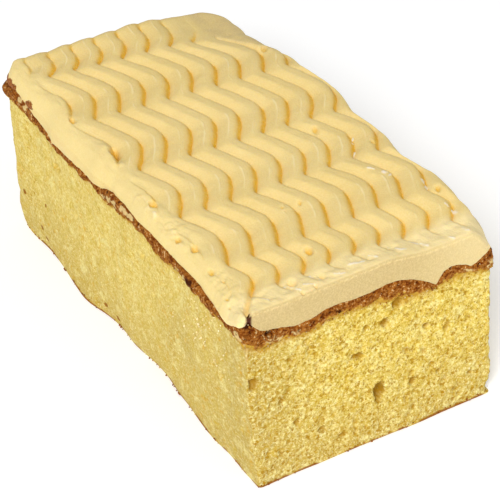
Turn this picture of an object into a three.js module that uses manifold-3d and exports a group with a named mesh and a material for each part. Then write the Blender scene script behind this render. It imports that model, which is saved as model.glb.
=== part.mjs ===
// A bar of orange sponge cake with combed buttercream icing, in millimetres.
//
// +X runs across the bar, +Y along it from the cut front face to the back, +Z up.
// The shape functions measure a place on the bar as (u, v): u from the left side
// and v from the front face. The finished bar is moved so that the origin is the
// middle of its box on the face that it stands on.

import * as THREE from 'three';
import { mergeVertices } from 'three/addons/utils/BufferGeometryUtils.js';
import Module from 'manifold-3d';

const wasm = await Module();
wasm.setup();

// ---------------------------------------------------------------- driving sizes

const WIDTH = 102.5;            // the bar, side to side
const LENGTH = 189;             // the bar, front to back
const SPONGE_HEIGHT = 66;       // base to the usual top of the browned crust
const ICING_THICKNESS = 10;     // crust to the crests of the comb marks
const SEAM_GAP = 0.4;           // between the sponge and the icing

const BACK_NARROWING = 6.5;     // the right side comes in by this towards the back
const FRONT_LEAN = 4.0;         // the cut front face leans back by this at its top
const CRUST_BAND = 4.6;         // usual height of the browned band
const FRONT_SAG = 3.0;          // the crust lies this much lower along the cut front
const CRUST_BULGE = 1.1;        // how far the crust stands out of the wall
const WALL_INSET = 0.6;         // the walls stand in from the outline by this
const WALL_UNEVEN = 0.35;       // and wander by this
const BASE_UNDERCUT = 1.4;      // how far the walls draw in at the base
const UNDERCUT_HEIGHT = 15;     // height over which they draw in

// The foot of the left side is torn away at one place and stands out at another.
const FOOT_TEARS = [
  { v: 72, depth: 3.2, reach: 16 },
  { v: 130, depth: -3.0, reach: 14 },
];

const COMB_PITCH = 9.93;        // tooth spacing of the icing comb
const PITCH_GAIN = 0.22;        // more towards the front, where the comb was turned
const COMB_DEPTH = 3.2;         // crest to groove bottom
const FIRST_GROOVE = 0.3;       // u of the first groove before the comb swings
const GROOVES = 9;              // whole grooves, left to right

// Where the comb turns as it is drawn along the bar: at each turn, how far along
// the bar it is and how far to the right the comb stands. It turns sharply at its
// left-hand ends and in a round sweep at its right-hand ends.
const COMB_TURNS = [
  { v: -2, swing: 5.0 },
  { v: 13, swing: -0.7 },
  { v: 20, swing: 5.2 },
  { v: 30.5, swing: 1.0 },
  { v: 46, swing: 7.2 },
  { v: 63.5, swing: 0.2 },
  { v: 79, swing: 8.2 },
  { v: 97, swing: 1.6 },
  { v: 114, swing: 10.7 },
  { v: 135, swing: 2.6 },
  { v: 150, swing: 9.9 },
  { v: 169.5, swing: 0.5 },
  { v: 177.5, swing: 8.0 },
  { v: 181, swing: 6.5 },
  { v: 192, swing: 10.5 },
];
const TURN_ROUNDING = 0.45;     // share of each leg's path that bends into its turn
const ROW_SKEW = 0.085;         // the turns come earlier towards the right side
const SKEW_START = 20;          // v where that lag begins
const SKEW_FULL = 130;          // v where it is whole

// One tooth's mark: how high the icing stands, from groove bottom to crest, at each
// share of the pitch. A long ramp faces left, a flat follows, and a steep wall drops
// back into the next groove.
const TOOTH_MARK = [
  { at: 0, height: 0 },
  { at: 0.1, height: 0.26 },
  { at: 0.5, height: 1 },
  { at: 0.84, height: 0.86 },
  { at: 1, height: 0 },
];

// Where the marks begin, this far in from each edge of the icing, and where they are
// at full depth. At the back edge they keep a share of their depth.
const MARKS_FROM = { left: 3.5, right: -1, front: 2, back: 0 };
const MARKS_FULL = { left: 10, right: 3, front: 11, back: 9 };
const MARKS_AT_BACK = 0.25;

// Shoulders of the icing: how wide each is and how far it drops at the edge.
const LEFT_SHOULDER = { wide: 9, drop: 6.2 };
const RIGHT_SHOULDER = { wide: 6, drop: 5 };
const BACK_SHOULDER = { wide: 5, drop: 4 };
const FRONT_CREASE = { wide: 1.6, drop: 0.9 };

// The icing was spread by hand: it stands a little high at two corners, has slumped
// at the back right one, and is smeared smooth there.
const FRONT_RIGHT_RISE = 1.4;
const BACK_LEFT_RISE = 0.8;
const CORNER_SLUMP = { drop: 7, softening: 0.6, fromU: 62, toU: 102, fromV: 130, toV: 182 };
const SMEARED_CORNER = { fromU: 58, toU: 80, fromV: 152, toV: 172 };

// Humps (+) and dips (-) of the crust round the bar's edge.
const CRUST_HUMPS = [
  { u: 2, v: 0, rise: 4.6, reach: 5 },
  { u: 24, v: 0, rise: -1.2, reach: 7 },
  { u: 34, v: 0, rise: 1.6, reach: 6 },
  { u: 60, v: 0, rise: 3.0, reach: 9 },
  { u: 78.5, v: 0, rise: -7.6, reach: 4 },
  { u: 92, v: 0, rise: -2.6, reach: 4 },
  { u: 0, v: 40, rise: 3.0, reach: 7 },
  { u: 0, v: 62, rise: 3.0, reach: 12 },
  { u: 0, v: 86, rise: 3.0, reach: 12 },
  { u: 0, v: 128, rise: -3.2, reach: 14 },
  { u: 0, v: 154, rise: -4.6, reach: 13 },
  { u: 0, v: 186, rise: 4.5, reach: 10 },
  { u: 100, v: 38, rise: 2.0, reach: 12 },
  { u: 100, v: 84, rise: -2.6, reach: 14 },
  { u: 100, v: 132, rise: 2.2, reach: 15 },
  { u: 24, v: 189, rise: 2.0, reach: 10 },
  { u: 60, v: 189, rise: -1.6, reach: 14 },
  { u: 100, v: 186, rise: -3.0, reach: 20 },
];

// Open bubbles of the crumb on the cut front face and the left side: the place on
// that face, its height, and how wide, tall and deep the hollow is.
const FRONT_BUBBLES = [
  { u: 3.5, z: 45, wide: 5, tall: 5, deep: 2.2 },
  { u: 45, z: 40, wide: 6, tall: 4, deep: 2 },
  { u: 53.5, z: 21, wide: 6.5, tall: 9, deep: 4 },
  { u: 57, z: 49, wide: 4.5, tall: 4, deep: 2 },
  { u: 62.5, z: 55.5, wide: 4.5, tall: 4.5, deep: 2.4 },
  { u: 68, z: 19, wide: 4, tall: 3.6, deep: 2 },
  { u: 82.5, z: 37, wide: 5, tall: 3.6, deep: 1.5 },
];
const LEFT_BUBBLES = [
  { v: 20, z: 37, wide: 4, tall: 3.5, deep: 1.5 },
  { v: 77, z: 53, wide: 5, tall: 4, deep: 1.6 },
  { v: 147, z: 49, wide: 5.5, tall: 4, deep: 1.7 },
];

// ------------------------------------------------------------------ small helpers

const clamp01 = (t) => Math.min(1, Math.max(0, t));
const mix = (a, b, t) => a + (b - a) * t;

function ease(from, to, value) {
  const t = clamp01((value - from) / (to - from));
  return t * t * (3 - 2 * t);
}

// How far a rounded corner has drawn in, this far before the end of a side.
function cornerCut(distance, radius) {
  const into = Math.min(radius, Math.max(0, radius - distance));
  return radius - Math.sqrt(radius * radius - into * into);
}

// A slow, uneven wander between about -1 and 1, for hand-made edges.
function wander(place, seed) {
  const slow = Math.sin(place / 9.1 + seed);
  const middle = Math.sin(place / 4.7 + seed * 2.3);
  const quick = Math.sin(place / 2.6 + seed * 4.1);
  return 0.5 * slow + 0.32 * middle + 0.18 * quick;
}

// --------------------------------------------------------------- the comb's path

// How far to the right the comb stands when it is this far along the bar.
function combSwing(v) {
  const found = COMB_TURNS.findIndex((turn) => turn.v > v);
  const next = found < 0 ? COMB_TURNS.length - 1 : found;
  const here = COMB_TURNS[next - 1];
  const there = COMB_TURNS[next];
  const t = clamp01((v - here.v) / (there.v - here.v));
  const towardsRight = there.swing > here.swing;
  const swept = towardsRight ? Math.sin(t * Math.PI / 2) : 1 - Math.cos(t * Math.PI / 2);
  return mix(here.swing, there.swing, mix(t, swept, TURN_ROUNDING));
}

// Where a tooth of the comb, counted from the first groove, stands across the bar.
function toothPlace(tooth, v) {
  return FIRST_GROOVE + tooth * (COMB_PITCH + PITCH_GAIN * ease(110, 30, v)) + combSwing(v);
}

// The comb lags towards the right: the v of its row seen at u. The lag dies out
// towards the back end, so that the last row lies along the edge.
function rowPlace(u, row) {
  const lag = ROW_SKEW * ease(SKEW_START, SKEW_FULL, row) * ease(LENGTH, LENGTH - 18, row);
  return row - lag * u;
}

// Height of the comb's mark above its groove bottom, as a share of its depth.
function toothMark(share) {
  const next = Math.max(1, TOOTH_MARK.findIndex((point) => point.at >= share));
  const from = TOOTH_MARK[next - 1];
  const to = TOOTH_MARK[next];
  return mix(from.height, to.height, (share - from.at) / (to.at - from.at));
}

// ------------------------------------------------------------------ the outlines

const SPONGE_FRONT = -1.8;      // foot of the cut front face
const ICING_FRONT = 2;          // the icing's cut face, behind that foot
const ICING_BACK = LENGTH - 1.6;
const EDGE_WANDER = { sponge: 0.3, icing: 0.5 };
const BACK_LEFT_BULGE = 1.2;    // the sponge stands out at its back left corner
const ICING_OVERHANG = 0.4;     // past the sponge's left side
const ICING_SETBACK = { front: 2.4, back: 4.2 };   // inside the sponge's right side
const DRAGGED_SHARE = 0.28;     // of the comb's swing that its right edge follows

// Radii of the corners, seen from above.
const SPONGE_CORNERS = { front: 1.5, backLeft: 6, backRight: 18 };
const ICING_CORNERS = { frontLeft: 4, frontRight: 2.5, backLeft: 9, backRight: 20 };

const SPONGE_EDGES = {
  front: SPONGE_FRONT,
  back: LENGTH,
  left: (v) => EDGE_WANDER.sponge * (1 + wander(v, 1.7))
    - BACK_LEFT_BULGE * ease(160, 184, v)
    + cornerCut(LENGTH - v, SPONGE_CORNERS.backLeft)
    + cornerCut(v - SPONGE_FRONT, SPONGE_CORNERS.front),
  right: (v) => WIDTH - EDGE_WANDER.sponge * (1 + wander(v, 4.2))
    - BACK_NARROWING * ease(110, 184, v)
    - cornerCut(LENGTH - v, SPONGE_CORNERS.backRight)
    - cornerCut(v - SPONGE_FRONT, SPONGE_CORNERS.front),
};

const ICING_EDGES = {
  front: ICING_FRONT,
  back: ICING_BACK,
  left: (v) => EDGE_WANDER.icing * wander(v, 3.1) - ICING_OVERHANG
    + cornerCut(LENGTH - v, ICING_CORNERS.backLeft)
    + cornerCut(v - ICING_FRONT, ICING_CORNERS.frontLeft),
  right: (v) => WIDTH - mix(ICING_SETBACK.front, ICING_SETBACK.back, ease(25, 60, v))
    + DRAGGED_SHARE * combSwing(v + ROW_SKEW * WIDTH)
    - BACK_NARROWING * ease(110, 184, v)
    - cornerCut(LENGTH - v, ICING_CORNERS.backRight)
    - cornerCut(v - ICING_FRONT, ICING_CORNERS.frontRight),
};

// --------------------------------------------------------------------- the grid

// Rows run along the bar: each leg between two turns of the comb is cut into even
// steps, so that rows lie on every turn. Close rows at the ends follow the corners.
const ROW_STEP = 4.8;
const FRONT_ROWS = [0, 1.5];            // behind the front edge
const BACK_ROWS = [2.6, 0.7, 0];        // before the back edge
const PLAIN_ROWS = { from: 8, to: LENGTH - 5 };
const SQUEEZE = { left: 8, right: 4 };  // columns slow down this near to an edge

function combRows(edges) {
  const rows = FRONT_ROWS.map((distance) => edges.front + distance);
  for (let turn = 1; turn < COMB_TURNS.length; turn += 1) {
    const from = COMB_TURNS[turn - 1].v;
    const to = COMB_TURNS[turn].v;
    const steps = Math.ceil((to - from) / ROW_STEP);
    for (let step = 1; step <= steps; step += 1) {
      const row = mix(from, to, step / steps);
      if (row > PLAIN_ROWS.from && row < PLAIN_ROWS.to) rows.push(row);
    }
  }
  rows.push(...BACK_ROWS.map((distance) => edges.back - distance));
  return rows;
}

// Columns follow the comb's marks, one on each bend of the tooth's section, counted
// in teeth from the first groove. The first and last columns are the edges.
function combColumns() {
  const teeth = [];
  for (let groove = -1; groove <= GROOVES; groove += 1) {
    for (const point of TOOTH_MARK.slice(0, -1)) teeth.push(groove + point.at);
  }
  return teeth;
}

const COLUMNS = combColumns();

// Keeps a column inside the edges: it slows down over the last few millimetres and
// only comes near the edge, so that columns never cross.
function squeeze(u, left, right) {
  const slowed = (distance, range) => (
    distance < range ? range * Math.exp(distance / range - 1) : distance);
  if (u < left + SQUEEZE.left) return left + slowed(u - left, SQUEEZE.left);
  return right - slowed(right - u, SQUEEZE.right);
}

// Every point of the grid as { u, v, share }, where share is the place in a tooth's
// mark. The rows at the ends are straight, and the rows between them lag.
function planGrid(edges) {
  const rows = combRows(edges);
  return rows.map((row, index) => {
    const isEnd = index < FRONT_ROWS.length || index >= rows.length - BACK_ROWS.length;
    const place = (u) => (isEnd ? row : rowPlace(u, row));
    const left = edges.left(place(0));
    const right = edges.right(place(WIDTH));
    const points = COLUMNS.map((tooth) => {
      const u = squeeze(toothPlace(tooth, row), left, right);
      return { u, v: place(u), share: tooth - Math.floor(tooth) };
    });
    points.unshift({ u: left, v: place(left), share: 0 });
    points.push({ u: right, v: place(right), share: 0 });
    return points;
  });
}

// The grid's rim, anticlockwise from the front left corner.
function rim(grid) {
  const lastRow = grid.length - 1;
  const lastColumn = grid[0].length - 1;
  const points = [];
  for (let column = 0; column <= lastColumn; column += 1) points.push(grid[0][column]);
  for (let row = 1; row <= lastRow; row += 1) points.push(grid[row][lastColumn]);
  for (let column = lastColumn - 1; column >= 0; column -= 1) points.push(grid[lastRow][column]);
  for (let row = lastRow - 1; row >= 1; row -= 1) points.push(grid[row][0]);
  return points;
}

// Draws a point of a rim in by some distance, or out if it is negative. Each side
// pulls on what is near it, so that points never cross at a corner.
const PULL_RANGE = 16;

function drawIn({ u, v }, side, end) {
  const sideways = ease(PULL_RANGE, 0, u) - ease(PULL_RANGE, 0, WIDTH - u);
  const endways = ease(PULL_RANGE, 0, v) - ease(PULL_RANGE, 0, LENGTH - v);
  return { u: u + side * sideways, v: v + end * endways };
}

// ------------------------------------------------------------------- the heights

// Top of the browned crust.
function crustTop(u, v) {
  let height = SPONGE_HEIGHT - FRONT_SAG * ease(14, 0, v) * ease(6, 26, u);
  for (const hump of CRUST_HUMPS) {
    const away = ((u - hump.u) ** 2 + (v - hump.v) ** 2) / hump.reach ** 2;
    height += hump.rise * Math.exp(-away);
  }
  return height;
}

function crustBand(u, v) {
  const frontLeftCorner = Math.exp(-((u - 6) ** 2 + v ** 2) / 12 ** 2);
  return CRUST_BAND + 1.0 * wander(u * 0.9 + v * 0.6, 2.2) + 2.2 * frontLeftCorner;
}

// Drop of one rounded shoulder, this far in from the edge.
function shoulderDrop(distance, shoulder) {
  const t = clamp01(1 - distance / shoulder.wide);
  return shoulder.drop * (1 - Math.sqrt(1 - t * t));
}

// Two shoulders that meet at a corner drop hardly more than the larger one alone.
function joinedDrop(...drops) {
  return drops.reduce((sum, drop) => sum + drop ** 4, 0) ** 0.25;
}

function icingTop({ u, v, share }) {
  const left = u - ICING_EDGES.left(v);
  const right = ICING_EDGES.right(v) - u;
  const front = v - ICING_EDGES.front;
  const back = ICING_EDGES.back - v;
  const slumped = ease(CORNER_SLUMP.fromU, CORNER_SLUMP.toU, u)
    * ease(CORNER_SLUMP.fromV, CORNER_SLUMP.toV, v);
  const drop = joinedDrop(
    shoulderDrop(left, LEFT_SHOULDER),
    shoulderDrop(right, RIGHT_SHOULDER),
    shoulderDrop(back, BACK_SHOULDER),
    shoulderDrop(front, FRONT_CREASE),
  ) * (1 - CORNER_SLUMP.softening * slumped);
  const tilt = FRONT_RIGHT_RISE * (u / WIDTH - 0.4) * ease(90, 10, v)
    + BACK_LEFT_RISE * ease(60, 0, u) * ease(120, 180, v);
  const smeared = ease(SMEARED_CORNER.fromU, SMEARED_CORNER.toU, u)
    * ease(SMEARED_CORNER.fromV, SMEARED_CORNER.toV, v);
  const reach = ease(MARKS_FROM.left, MARKS_FULL.left, left)
    * ease(MARKS_FROM.right, MARKS_FULL.right, right)
    * ease(MARKS_FROM.front, MARKS_FULL.front, front)
    * mix(MARKS_AT_BACK, 1, ease(MARKS_FROM.back, MARKS_FULL.back, back))
    * (1 - smeared);
  const groove = COMB_DEPTH * reach * (1 - toothMark(share));
  const level = SPONGE_HEIGHT + ICING_THICKNESS - CORNER_SLUMP.drop * slumped;
  return level + tilt - drop - groove;
}

// ------------------------------------------------------------------ mesh building

const MERGE_DISTANCE = 2e-3;    // points this close become one

function solidFrom(positions, faces) {
  const mesh = new wasm.Mesh({
    numProp: 3,
    vertProperties: new Float32Array(positions),
    triVerts: new Uint32Array(faces),
  });
  return new wasm.Manifold(mesh);
}

function solidFromGeometry(geometry) {
  geometry.deleteAttribute('normal');
  geometry.deleteAttribute('uv');
  const merged = mergeVertices(geometry, MERGE_DISTANCE);
  return solidFrom(merged.attributes.position.array, merged.index.array);
}

function geometryFrom(solid) {
  const { vertProperties, triVerts } = solid.getMesh();
  const geometry = new THREE.BufferGeometry();
  geometry.setAttribute('position', new THREE.BufferAttribute(vertProperties, 3));
  geometry.setIndex(new THREE.BufferAttribute(triVerts, 1));
  geometry.computeVertexNormals();
  return geometry;
}

// A closed shell that is put together from rings and rows of points. A ring runs
// anticlockwise seen from above, and a row runs from left to right.
function newShell() {
  const positions = [];
  const faces = [];
  const addPoints = (points) => points.map(({ x, y, z }) => {
    positions.push(x, y, z);
    return positions.length / 3 - 1;
  });

  // Stacked rings, lowest first, become a tube. Each four-cornered patch is split
  // along the diagonal that rises to the right, or with leansLeft along the other.
  const stitchRings = (rings, leansLeft = false) => {
    for (let level = 1; level < rings.length; level += 1) {
      const low = rings[level - 1];
      const high = rings[level];
      for (let index = 0; index < low.length; index += 1) {
        const next = (index + 1) % low.length;
        const end = leansLeft ? high[index] : high[next];
        const start = leansLeft ? low[next] : low[index];
        faces.push(low[index], low[next], end);
        faces.push(start, high[next], high[index]);
      }
    }
  };

  // Rows, front one first, become a sheet that faces up.
  const stitchRows = (rows) => {
    for (let row = 1; row < rows.length; row += 1) {
      for (let column = 1; column < rows[row].length; column += 1) {
        const frontLeft = rows[row - 1][column - 1];
        const backRight = rows[row][column];
        faces.push(frontLeft, rows[row - 1][column], backRight);
        faces.push(frontLeft, backRight, rows[row][column - 1]);
      }
    }
  };

  const closeAbove = (ring, middle) => {
    const [centre] = addPoints([middle]);
    ring.forEach((point, index) => faces.push(point, ring[(index + 1) % ring.length], centre));
  };

  const closeBelow = (ring, middle) => {
    const [centre] = addPoints([middle]);
    ring.forEach((point, index) => faces.push(ring[(index + 1) % ring.length], point, centre));
  };

  const solid = () => solidFrom(positions, faces);
  return { addPoints, stitchRings, stitchRows, closeAbove, closeBelow, solid };
}

// ---------------------------------------------------------------------- the seam

// The cut front leans back, so what is near it moves back with height.
function leanBack(v, z) {
  return v + FRONT_LEAN * (z / SPONGE_HEIGHT) * ease(PLAIN_ROWS.from, 0, v);
}

// A point of the sponge's side at a height, this far out of the wall.
function wallPoint(point, z, bulge) {
  const uneven = WALL_UNEVEN * wander(point.u * 0.8 + point.v * 0.7 + z * 0.5, 5.3);
  const wall = WALL_INSET + uneven - bulge;
  let foot = BASE_UNDERCUT * (1 + 0.6 * wander(point.v * 0.6 + point.u, 0.6));
  for (const tear of FOOT_TEARS) {
    const away = (point.v - tear.v) / tear.reach;
    foot += tear.depth * Math.exp(-away * away) * ease(WIDTH, 0, point.u);
  }
  const undercut = foot * Math.max(0, 1 - z / UNDERCUT_HEIGHT) ** 2;
  const atFront = ease(PULL_RANGE, 0, point.v);
  const { u, v } = drawIn(point, wall + undercut, wall + undercut * (1 - atFront));
  return new THREE.Vector3(u, leanBack(v, z), z);
}

// The same on the crust, this share of the way down it.
function crustPoint(point, share, bulge) {
  const z = crustTop(point.u, point.v) - share * crustBand(point.u, point.v);
  return wallPoint(point, z, bulge);
}

// The sponge's top, which the icing lies on: the crust's upper edge, then rings that
// lead in to the middle of the bar.
const EDGE_TURN_IN = 0.4;
const SEAM_SHARES = [0.12, 0.5];
const SEAM_MIDDLE = new THREE.Vector3(WIDTH / 2, LENGTH / 2, SPONGE_HEIGHT);

function seamRings() {
  const edge = rim(planGrid(SPONGE_EDGES)).map((point) => crustPoint(point, 0, -EDGE_TURN_IN));
  const inner = SEAM_SHARES.map((share) => edge.map((point) => {
    const u = mix(point.x, SEAM_MIDDLE.x, share);
    const v = mix(point.y, SEAM_MIDDLE.y, share);
    return new THREE.Vector3(u, v, crustTop(u, v));
  }));
  return [edge, ...inner];
}

// -------------------------------------------------------------------- the sponge

// Wall levels between the base and the underside of the crust, as shares.
const WALL_LEVELS = [0.015, 0.07, 0.16, 0.3, 0.48, 0.66, 0.84];
const BASE_ROUNDING = 0.4;      // the lowest edge draws in by this

// The crust from its lower to its upper edge: how far down it, and how far out.
const CRUST_SECTION = [
  { share: 1, bulge: 0.1 },
  { share: 0.8, bulge: 0.7 * CRUST_BULGE },
  { share: 0.4, bulge: CRUST_BULGE },
  { share: 0.1, bulge: 0.4 * CRUST_BULGE },
];

function buildSponge() {
  const outline = rim(planGrid(SPONGE_EDGES));
  const wallRing = (share, bulge) => outline.map((point) => (
    wallPoint(point, share * (crustTop(point.u, point.v) - crustBand(point.u, point.v)), bulge)));
  const crustRing = ({ share, bulge }) => outline.map((point) => crustPoint(point, share, bulge));
  const levels = [
    wallRing(0, -BASE_ROUNDING),
    ...WALL_LEVELS.map((share) => wallRing(share, 0)),
    ...CRUST_SECTION.map(crustRing),
    ...seamRings(),
  ];

  const shell = newShell();
  const rings = levels.map((level) => shell.addPoints(level));
  shell.stitchRings(rings);
  shell.closeAbove(rings[rings.length - 1], SEAM_MIDDLE);
  shell.closeBelow(rings[0], new THREE.Vector3(SEAM_MIDDLE.x, SEAM_MIDDLE.y, 0));
  return shell.solid();
}

function bubble(x, y, z, sizeX, sizeY, sizeZ) {
  const geometry = new THREE.IcosahedronGeometry(1, 1);
  geometry.scale(sizeX, sizeY, sizeZ);
  geometry.translate(x, y, z);
  return solidFromGeometry(geometry);
}

function cutBubbles(sponge) {
  let cut = sponge;
  for (const hole of FRONT_BUBBLES) {
    const face = WALL_INSET + leanBack(SPONGE_EDGES.front, hole.z);
    cut = cut.subtract(bubble(hole.u, face, hole.z, hole.wide / 2, hole.deep, hole.tall / 2));
  }
  for (const hole of LEFT_BUBBLES) {
    const face = WALL_INSET + SPONGE_EDGES.left(hole.v);
    cut = cut.subtract(bubble(face, hole.v, hole.z, hole.deep, hole.wide / 2, hole.tall / 2));
  }
  return cut;
}

// --------------------------------------------------------------------- the icing

// Side of the icing between its shoulder and the crust: how far down, as a share,
// and how far it bulges out there.
const LEAST_REACH = 0.9;         // of the way out to the crust's upper edge
const ICING_SIDE = [
  { down: 0.75, bulge: 0.5 },
  { down: 0.35, bulge: 0.8 },
];

function buildIcing() {
  const grid = planGrid(ICING_EDGES);
  const shell = newShell();
  const topPoints = grid.map((row) => row.map((point) => (
    new THREE.Vector3(point.u, point.v, icingTop(point)))));
  const topRows = topPoints.map((row) => shell.addPoints(row));
  shell.stitchRows(topRows);

  // The underside lies on the sponge's own seam rings, a gap above them, and runs on
  // in the same direction out to the icing's edge.
  const seam = seamRings();
  const lift = new THREE.Vector3(0, 0, SEAM_GAP);
  const inner = seam.slice(1).map((ring) => ring.map((point) => point.clone().add(lift)));
  const topRim = rim(topPoints);
  const lowerEdge = topRim.map((point, index) => {
    const from = seam[1][index];
    const along = seam[0][index].clone().sub(from);
    const reach = (point.x - from.x) * along.x + (point.y - from.y) * along.y;
    const share = reach / (along.x ** 2 + along.y ** 2);
    return from.clone().addScaledVector(along, Math.max(share, LEAST_REACH)).add(lift);
  });
  const sides = ICING_SIDE.map(({ down, bulge }) => topRim.map((top, index) => {
    const point = top.clone().lerp(lowerEdge[index], down);
    const { u, v } = drawIn({ u: point.x, v: point.y }, -bulge, -bulge * 0.5);
    return new THREE.Vector3(u, v, point.z);
  }));

  const underside = [...inner.reverse(), lowerEdge].map((ring) => shell.addPoints(ring));
  shell.stitchRings(underside, true);
  shell.closeBelow(underside[0], SEAM_MIDDLE.clone().add(lift));
  const sideRings = sides.map((ring) => shell.addPoints(ring));
  shell.stitchRings([underside[underside.length - 1], ...sideRings, rim(topRows)]);
  return shell.solid();
}

// ------------------------------------------------------------------ the whole bar

function namedMesh(name, solid, material) {
  const mesh = new THREE.Mesh(geometryFrom(solid), new THREE.MeshStandardMaterial(material));
  mesh.name = name;
  return mesh;
}

const cake = new THREE.Group();
cake.add(namedMesh('sponge', cutBubbles(buildSponge()), { color: 0xe8d070, roughness: 0.95 }));
cake.add(namedMesh('icing', buildIcing(), { color: 0xeacd87, roughness: 0.6 }));

const box = new THREE.Box3().setFromObject(cake);
const middle = box.getCenter(new THREE.Vector3());
cake.position.set(-middle.x, -middle.y, -box.min.z);

export default cake;
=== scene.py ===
# %% [markdown]
# # A bar of citrus sponge cake with combed icing
#
# The bar is a block of yellow sponge, cut flat at its front end. Its upper edge is a
# browned, wavy crust, and on top lies a thick layer of pale orange buttercream that was
# spread, and then combed in zigzag rows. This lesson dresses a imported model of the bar:
# it builds a fine skin for the sponge, the crust and the icing round the same named
# sizes, and gives each the finish of the real food.

# %% Load the frame
import math

import bpy
import numpy as np
from mathutils import Matrix, Vector


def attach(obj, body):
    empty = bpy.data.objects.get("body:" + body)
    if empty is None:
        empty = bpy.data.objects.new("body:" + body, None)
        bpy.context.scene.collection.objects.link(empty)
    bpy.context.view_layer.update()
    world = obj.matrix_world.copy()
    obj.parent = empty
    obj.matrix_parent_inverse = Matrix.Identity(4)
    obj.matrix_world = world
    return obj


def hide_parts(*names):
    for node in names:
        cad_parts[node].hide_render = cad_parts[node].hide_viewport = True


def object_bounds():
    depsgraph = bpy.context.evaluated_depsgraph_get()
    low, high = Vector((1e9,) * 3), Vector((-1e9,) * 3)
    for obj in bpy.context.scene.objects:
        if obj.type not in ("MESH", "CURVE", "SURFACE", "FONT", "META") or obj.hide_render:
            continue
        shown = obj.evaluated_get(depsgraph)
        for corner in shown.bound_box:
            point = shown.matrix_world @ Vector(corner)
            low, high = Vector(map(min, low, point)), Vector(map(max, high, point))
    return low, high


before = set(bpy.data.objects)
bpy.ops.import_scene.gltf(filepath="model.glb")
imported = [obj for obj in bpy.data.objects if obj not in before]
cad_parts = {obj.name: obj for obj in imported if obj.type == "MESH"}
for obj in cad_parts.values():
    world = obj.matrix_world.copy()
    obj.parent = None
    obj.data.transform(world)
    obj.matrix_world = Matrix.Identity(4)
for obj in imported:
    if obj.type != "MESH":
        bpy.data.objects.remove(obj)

box_low, box_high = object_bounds()
print("box of the bar in metres:", list(box_low), list(box_high))

# %% [markdown]
# ## Places on the bar
#
# Every place on the bar is written as (u, v, z) in millimetres: u from its left side,
# v from its front, z from its base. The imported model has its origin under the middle
# of its box, so one shift and one scale take a place on the bar to Blender's metres.

# %% Driving sizes
MM = 0.001
WIDTH = 102.5
LENGTH = 189
SPONGE_HEIGHT = 66
ICING_THICKNESS = 10
BOX_LEFT = -1.54                # u of the left side of the model's box
BOX_FRONT = -1.49               # v of its front side
SHIFT = np.array([box_low.x / MM - BOX_LEFT, box_low.y / MM - BOX_FRONT, 0])


def to_metres(places):
    """Turns places on the bar, in millimetres, to metres, and keeps them in the model's box."""
    return np.clip((np.asarray(places) + SHIFT) * MM, box_low, box_high)


print("shift to the model's origin, in millimetres:", SHIFT.round(2))

# %% [markdown]
# ## Small helpers for uneven, hand-made things
#
# Cake is never even, so most shapes below are a plain form plus some unevenness. These
# helpers ease from one value to another, fade round a middle, round off a corner, and
# let an edge wander as a hand would. They are written for whole arrays at once, because
# each skin has about a hundred thousand points.

# %% Easing and wandering
def clamp(value):
    return np.clip(value, 0, 1)


def mix(a, b, share):
    return a + (b - a) * share


def ease(start, end, value):
    """Goes smoothly from 0 at start to 1 at end."""
    share = clamp((value - start) / (end - start))
    return share * share * (3 - 2 * share)


def bell(distance, reach):
    """1 in the middle, fading to almost nothing at twice the reach."""
    return np.exp(-(distance / reach) ** 2)


def corner_cut(distance, radius):
    """How far a rounded corner has drawn in, this far before the end of a side."""
    into = np.clip(radius - distance, 0, radius)
    return radius - np.sqrt(radius * radius - into * into)


def wander(place, seed):
    """A slow wave from about -1 to 1 along a line, made of three that never keep step."""
    slow = np.sin(place / 9.1 + seed)
    middle = np.sin(place / 4.7 + seed * 2.3)
    quick = np.sin(place / 2.6 + seed * 4.1)
    return 0.5 * slow + 0.32 * middle + 0.18 * quick


# %% [markdown]
# ## Cloudy noise and round pits
#
# Crumb is uneven in all directions, so it needs a cloudy noise, and round pits for its
# bubbles. The space round the bar is thought of as cells. Each cell gets fixed random
# numbers from its own place, and the noise goes softly from one cell to the next, so
# every run bakes the same cake.

# %% Noise and pits
STIRRERS = (374761393, 668265263, 2147483647, 1274126177)     # large, with no pattern in them
MILLION = 0xFFFFF               # the dice have about a million sides
FINER = 2.03                    # each layer of the noise is this much finer than the last
WEAKER = 0.5                    # and this much weaker
SEED_STEP = 7.31                # each seed reads another part of the noise


def dice(cells, seed):
    """A fixed random number from 0 to 1 for each whole-numbered cell."""
    first, second, third, fourth = STIRRERS
    mixed = cells[..., 0] * first + cells[..., 1] * second
    mixed = mixed + cells[..., 2] * third + seed * fourth
    mixed = (mixed ^ (mixed >> 13)) * fourth
    mixed = (mixed ^ (mixed >> 16)) * first
    mixed = mixed ^ (mixed >> 15)
    return (mixed & MILLION) / MILLION


def cloud(places, size, seed, layers=2):
    """Soft noise from about -1 to 1 whose lumps are this many millimetres across."""
    total = np.zeros(places.shape[:-1])
    strength, scale = 1.0, 1.0 / size
    for layer in range(layers):
        spot = places * scale + seed * SEED_STEP
        cell = np.floor(spot).astype(np.int64)
        part = spot - cell
        part = part * part * (3 - 2 * part)
        level = np.zeros(total.shape)
        for corner in np.ndindex(2, 2, 2):
            weight = np.prod(np.where(corner, part, 1 - part), axis=-1)
            level += weight * dice(cell + np.array(corner), seed + layer)
        total += strength * (2 * level - 1)
        strength *= WEAKER
        scale *= FINER
    return total


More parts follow.
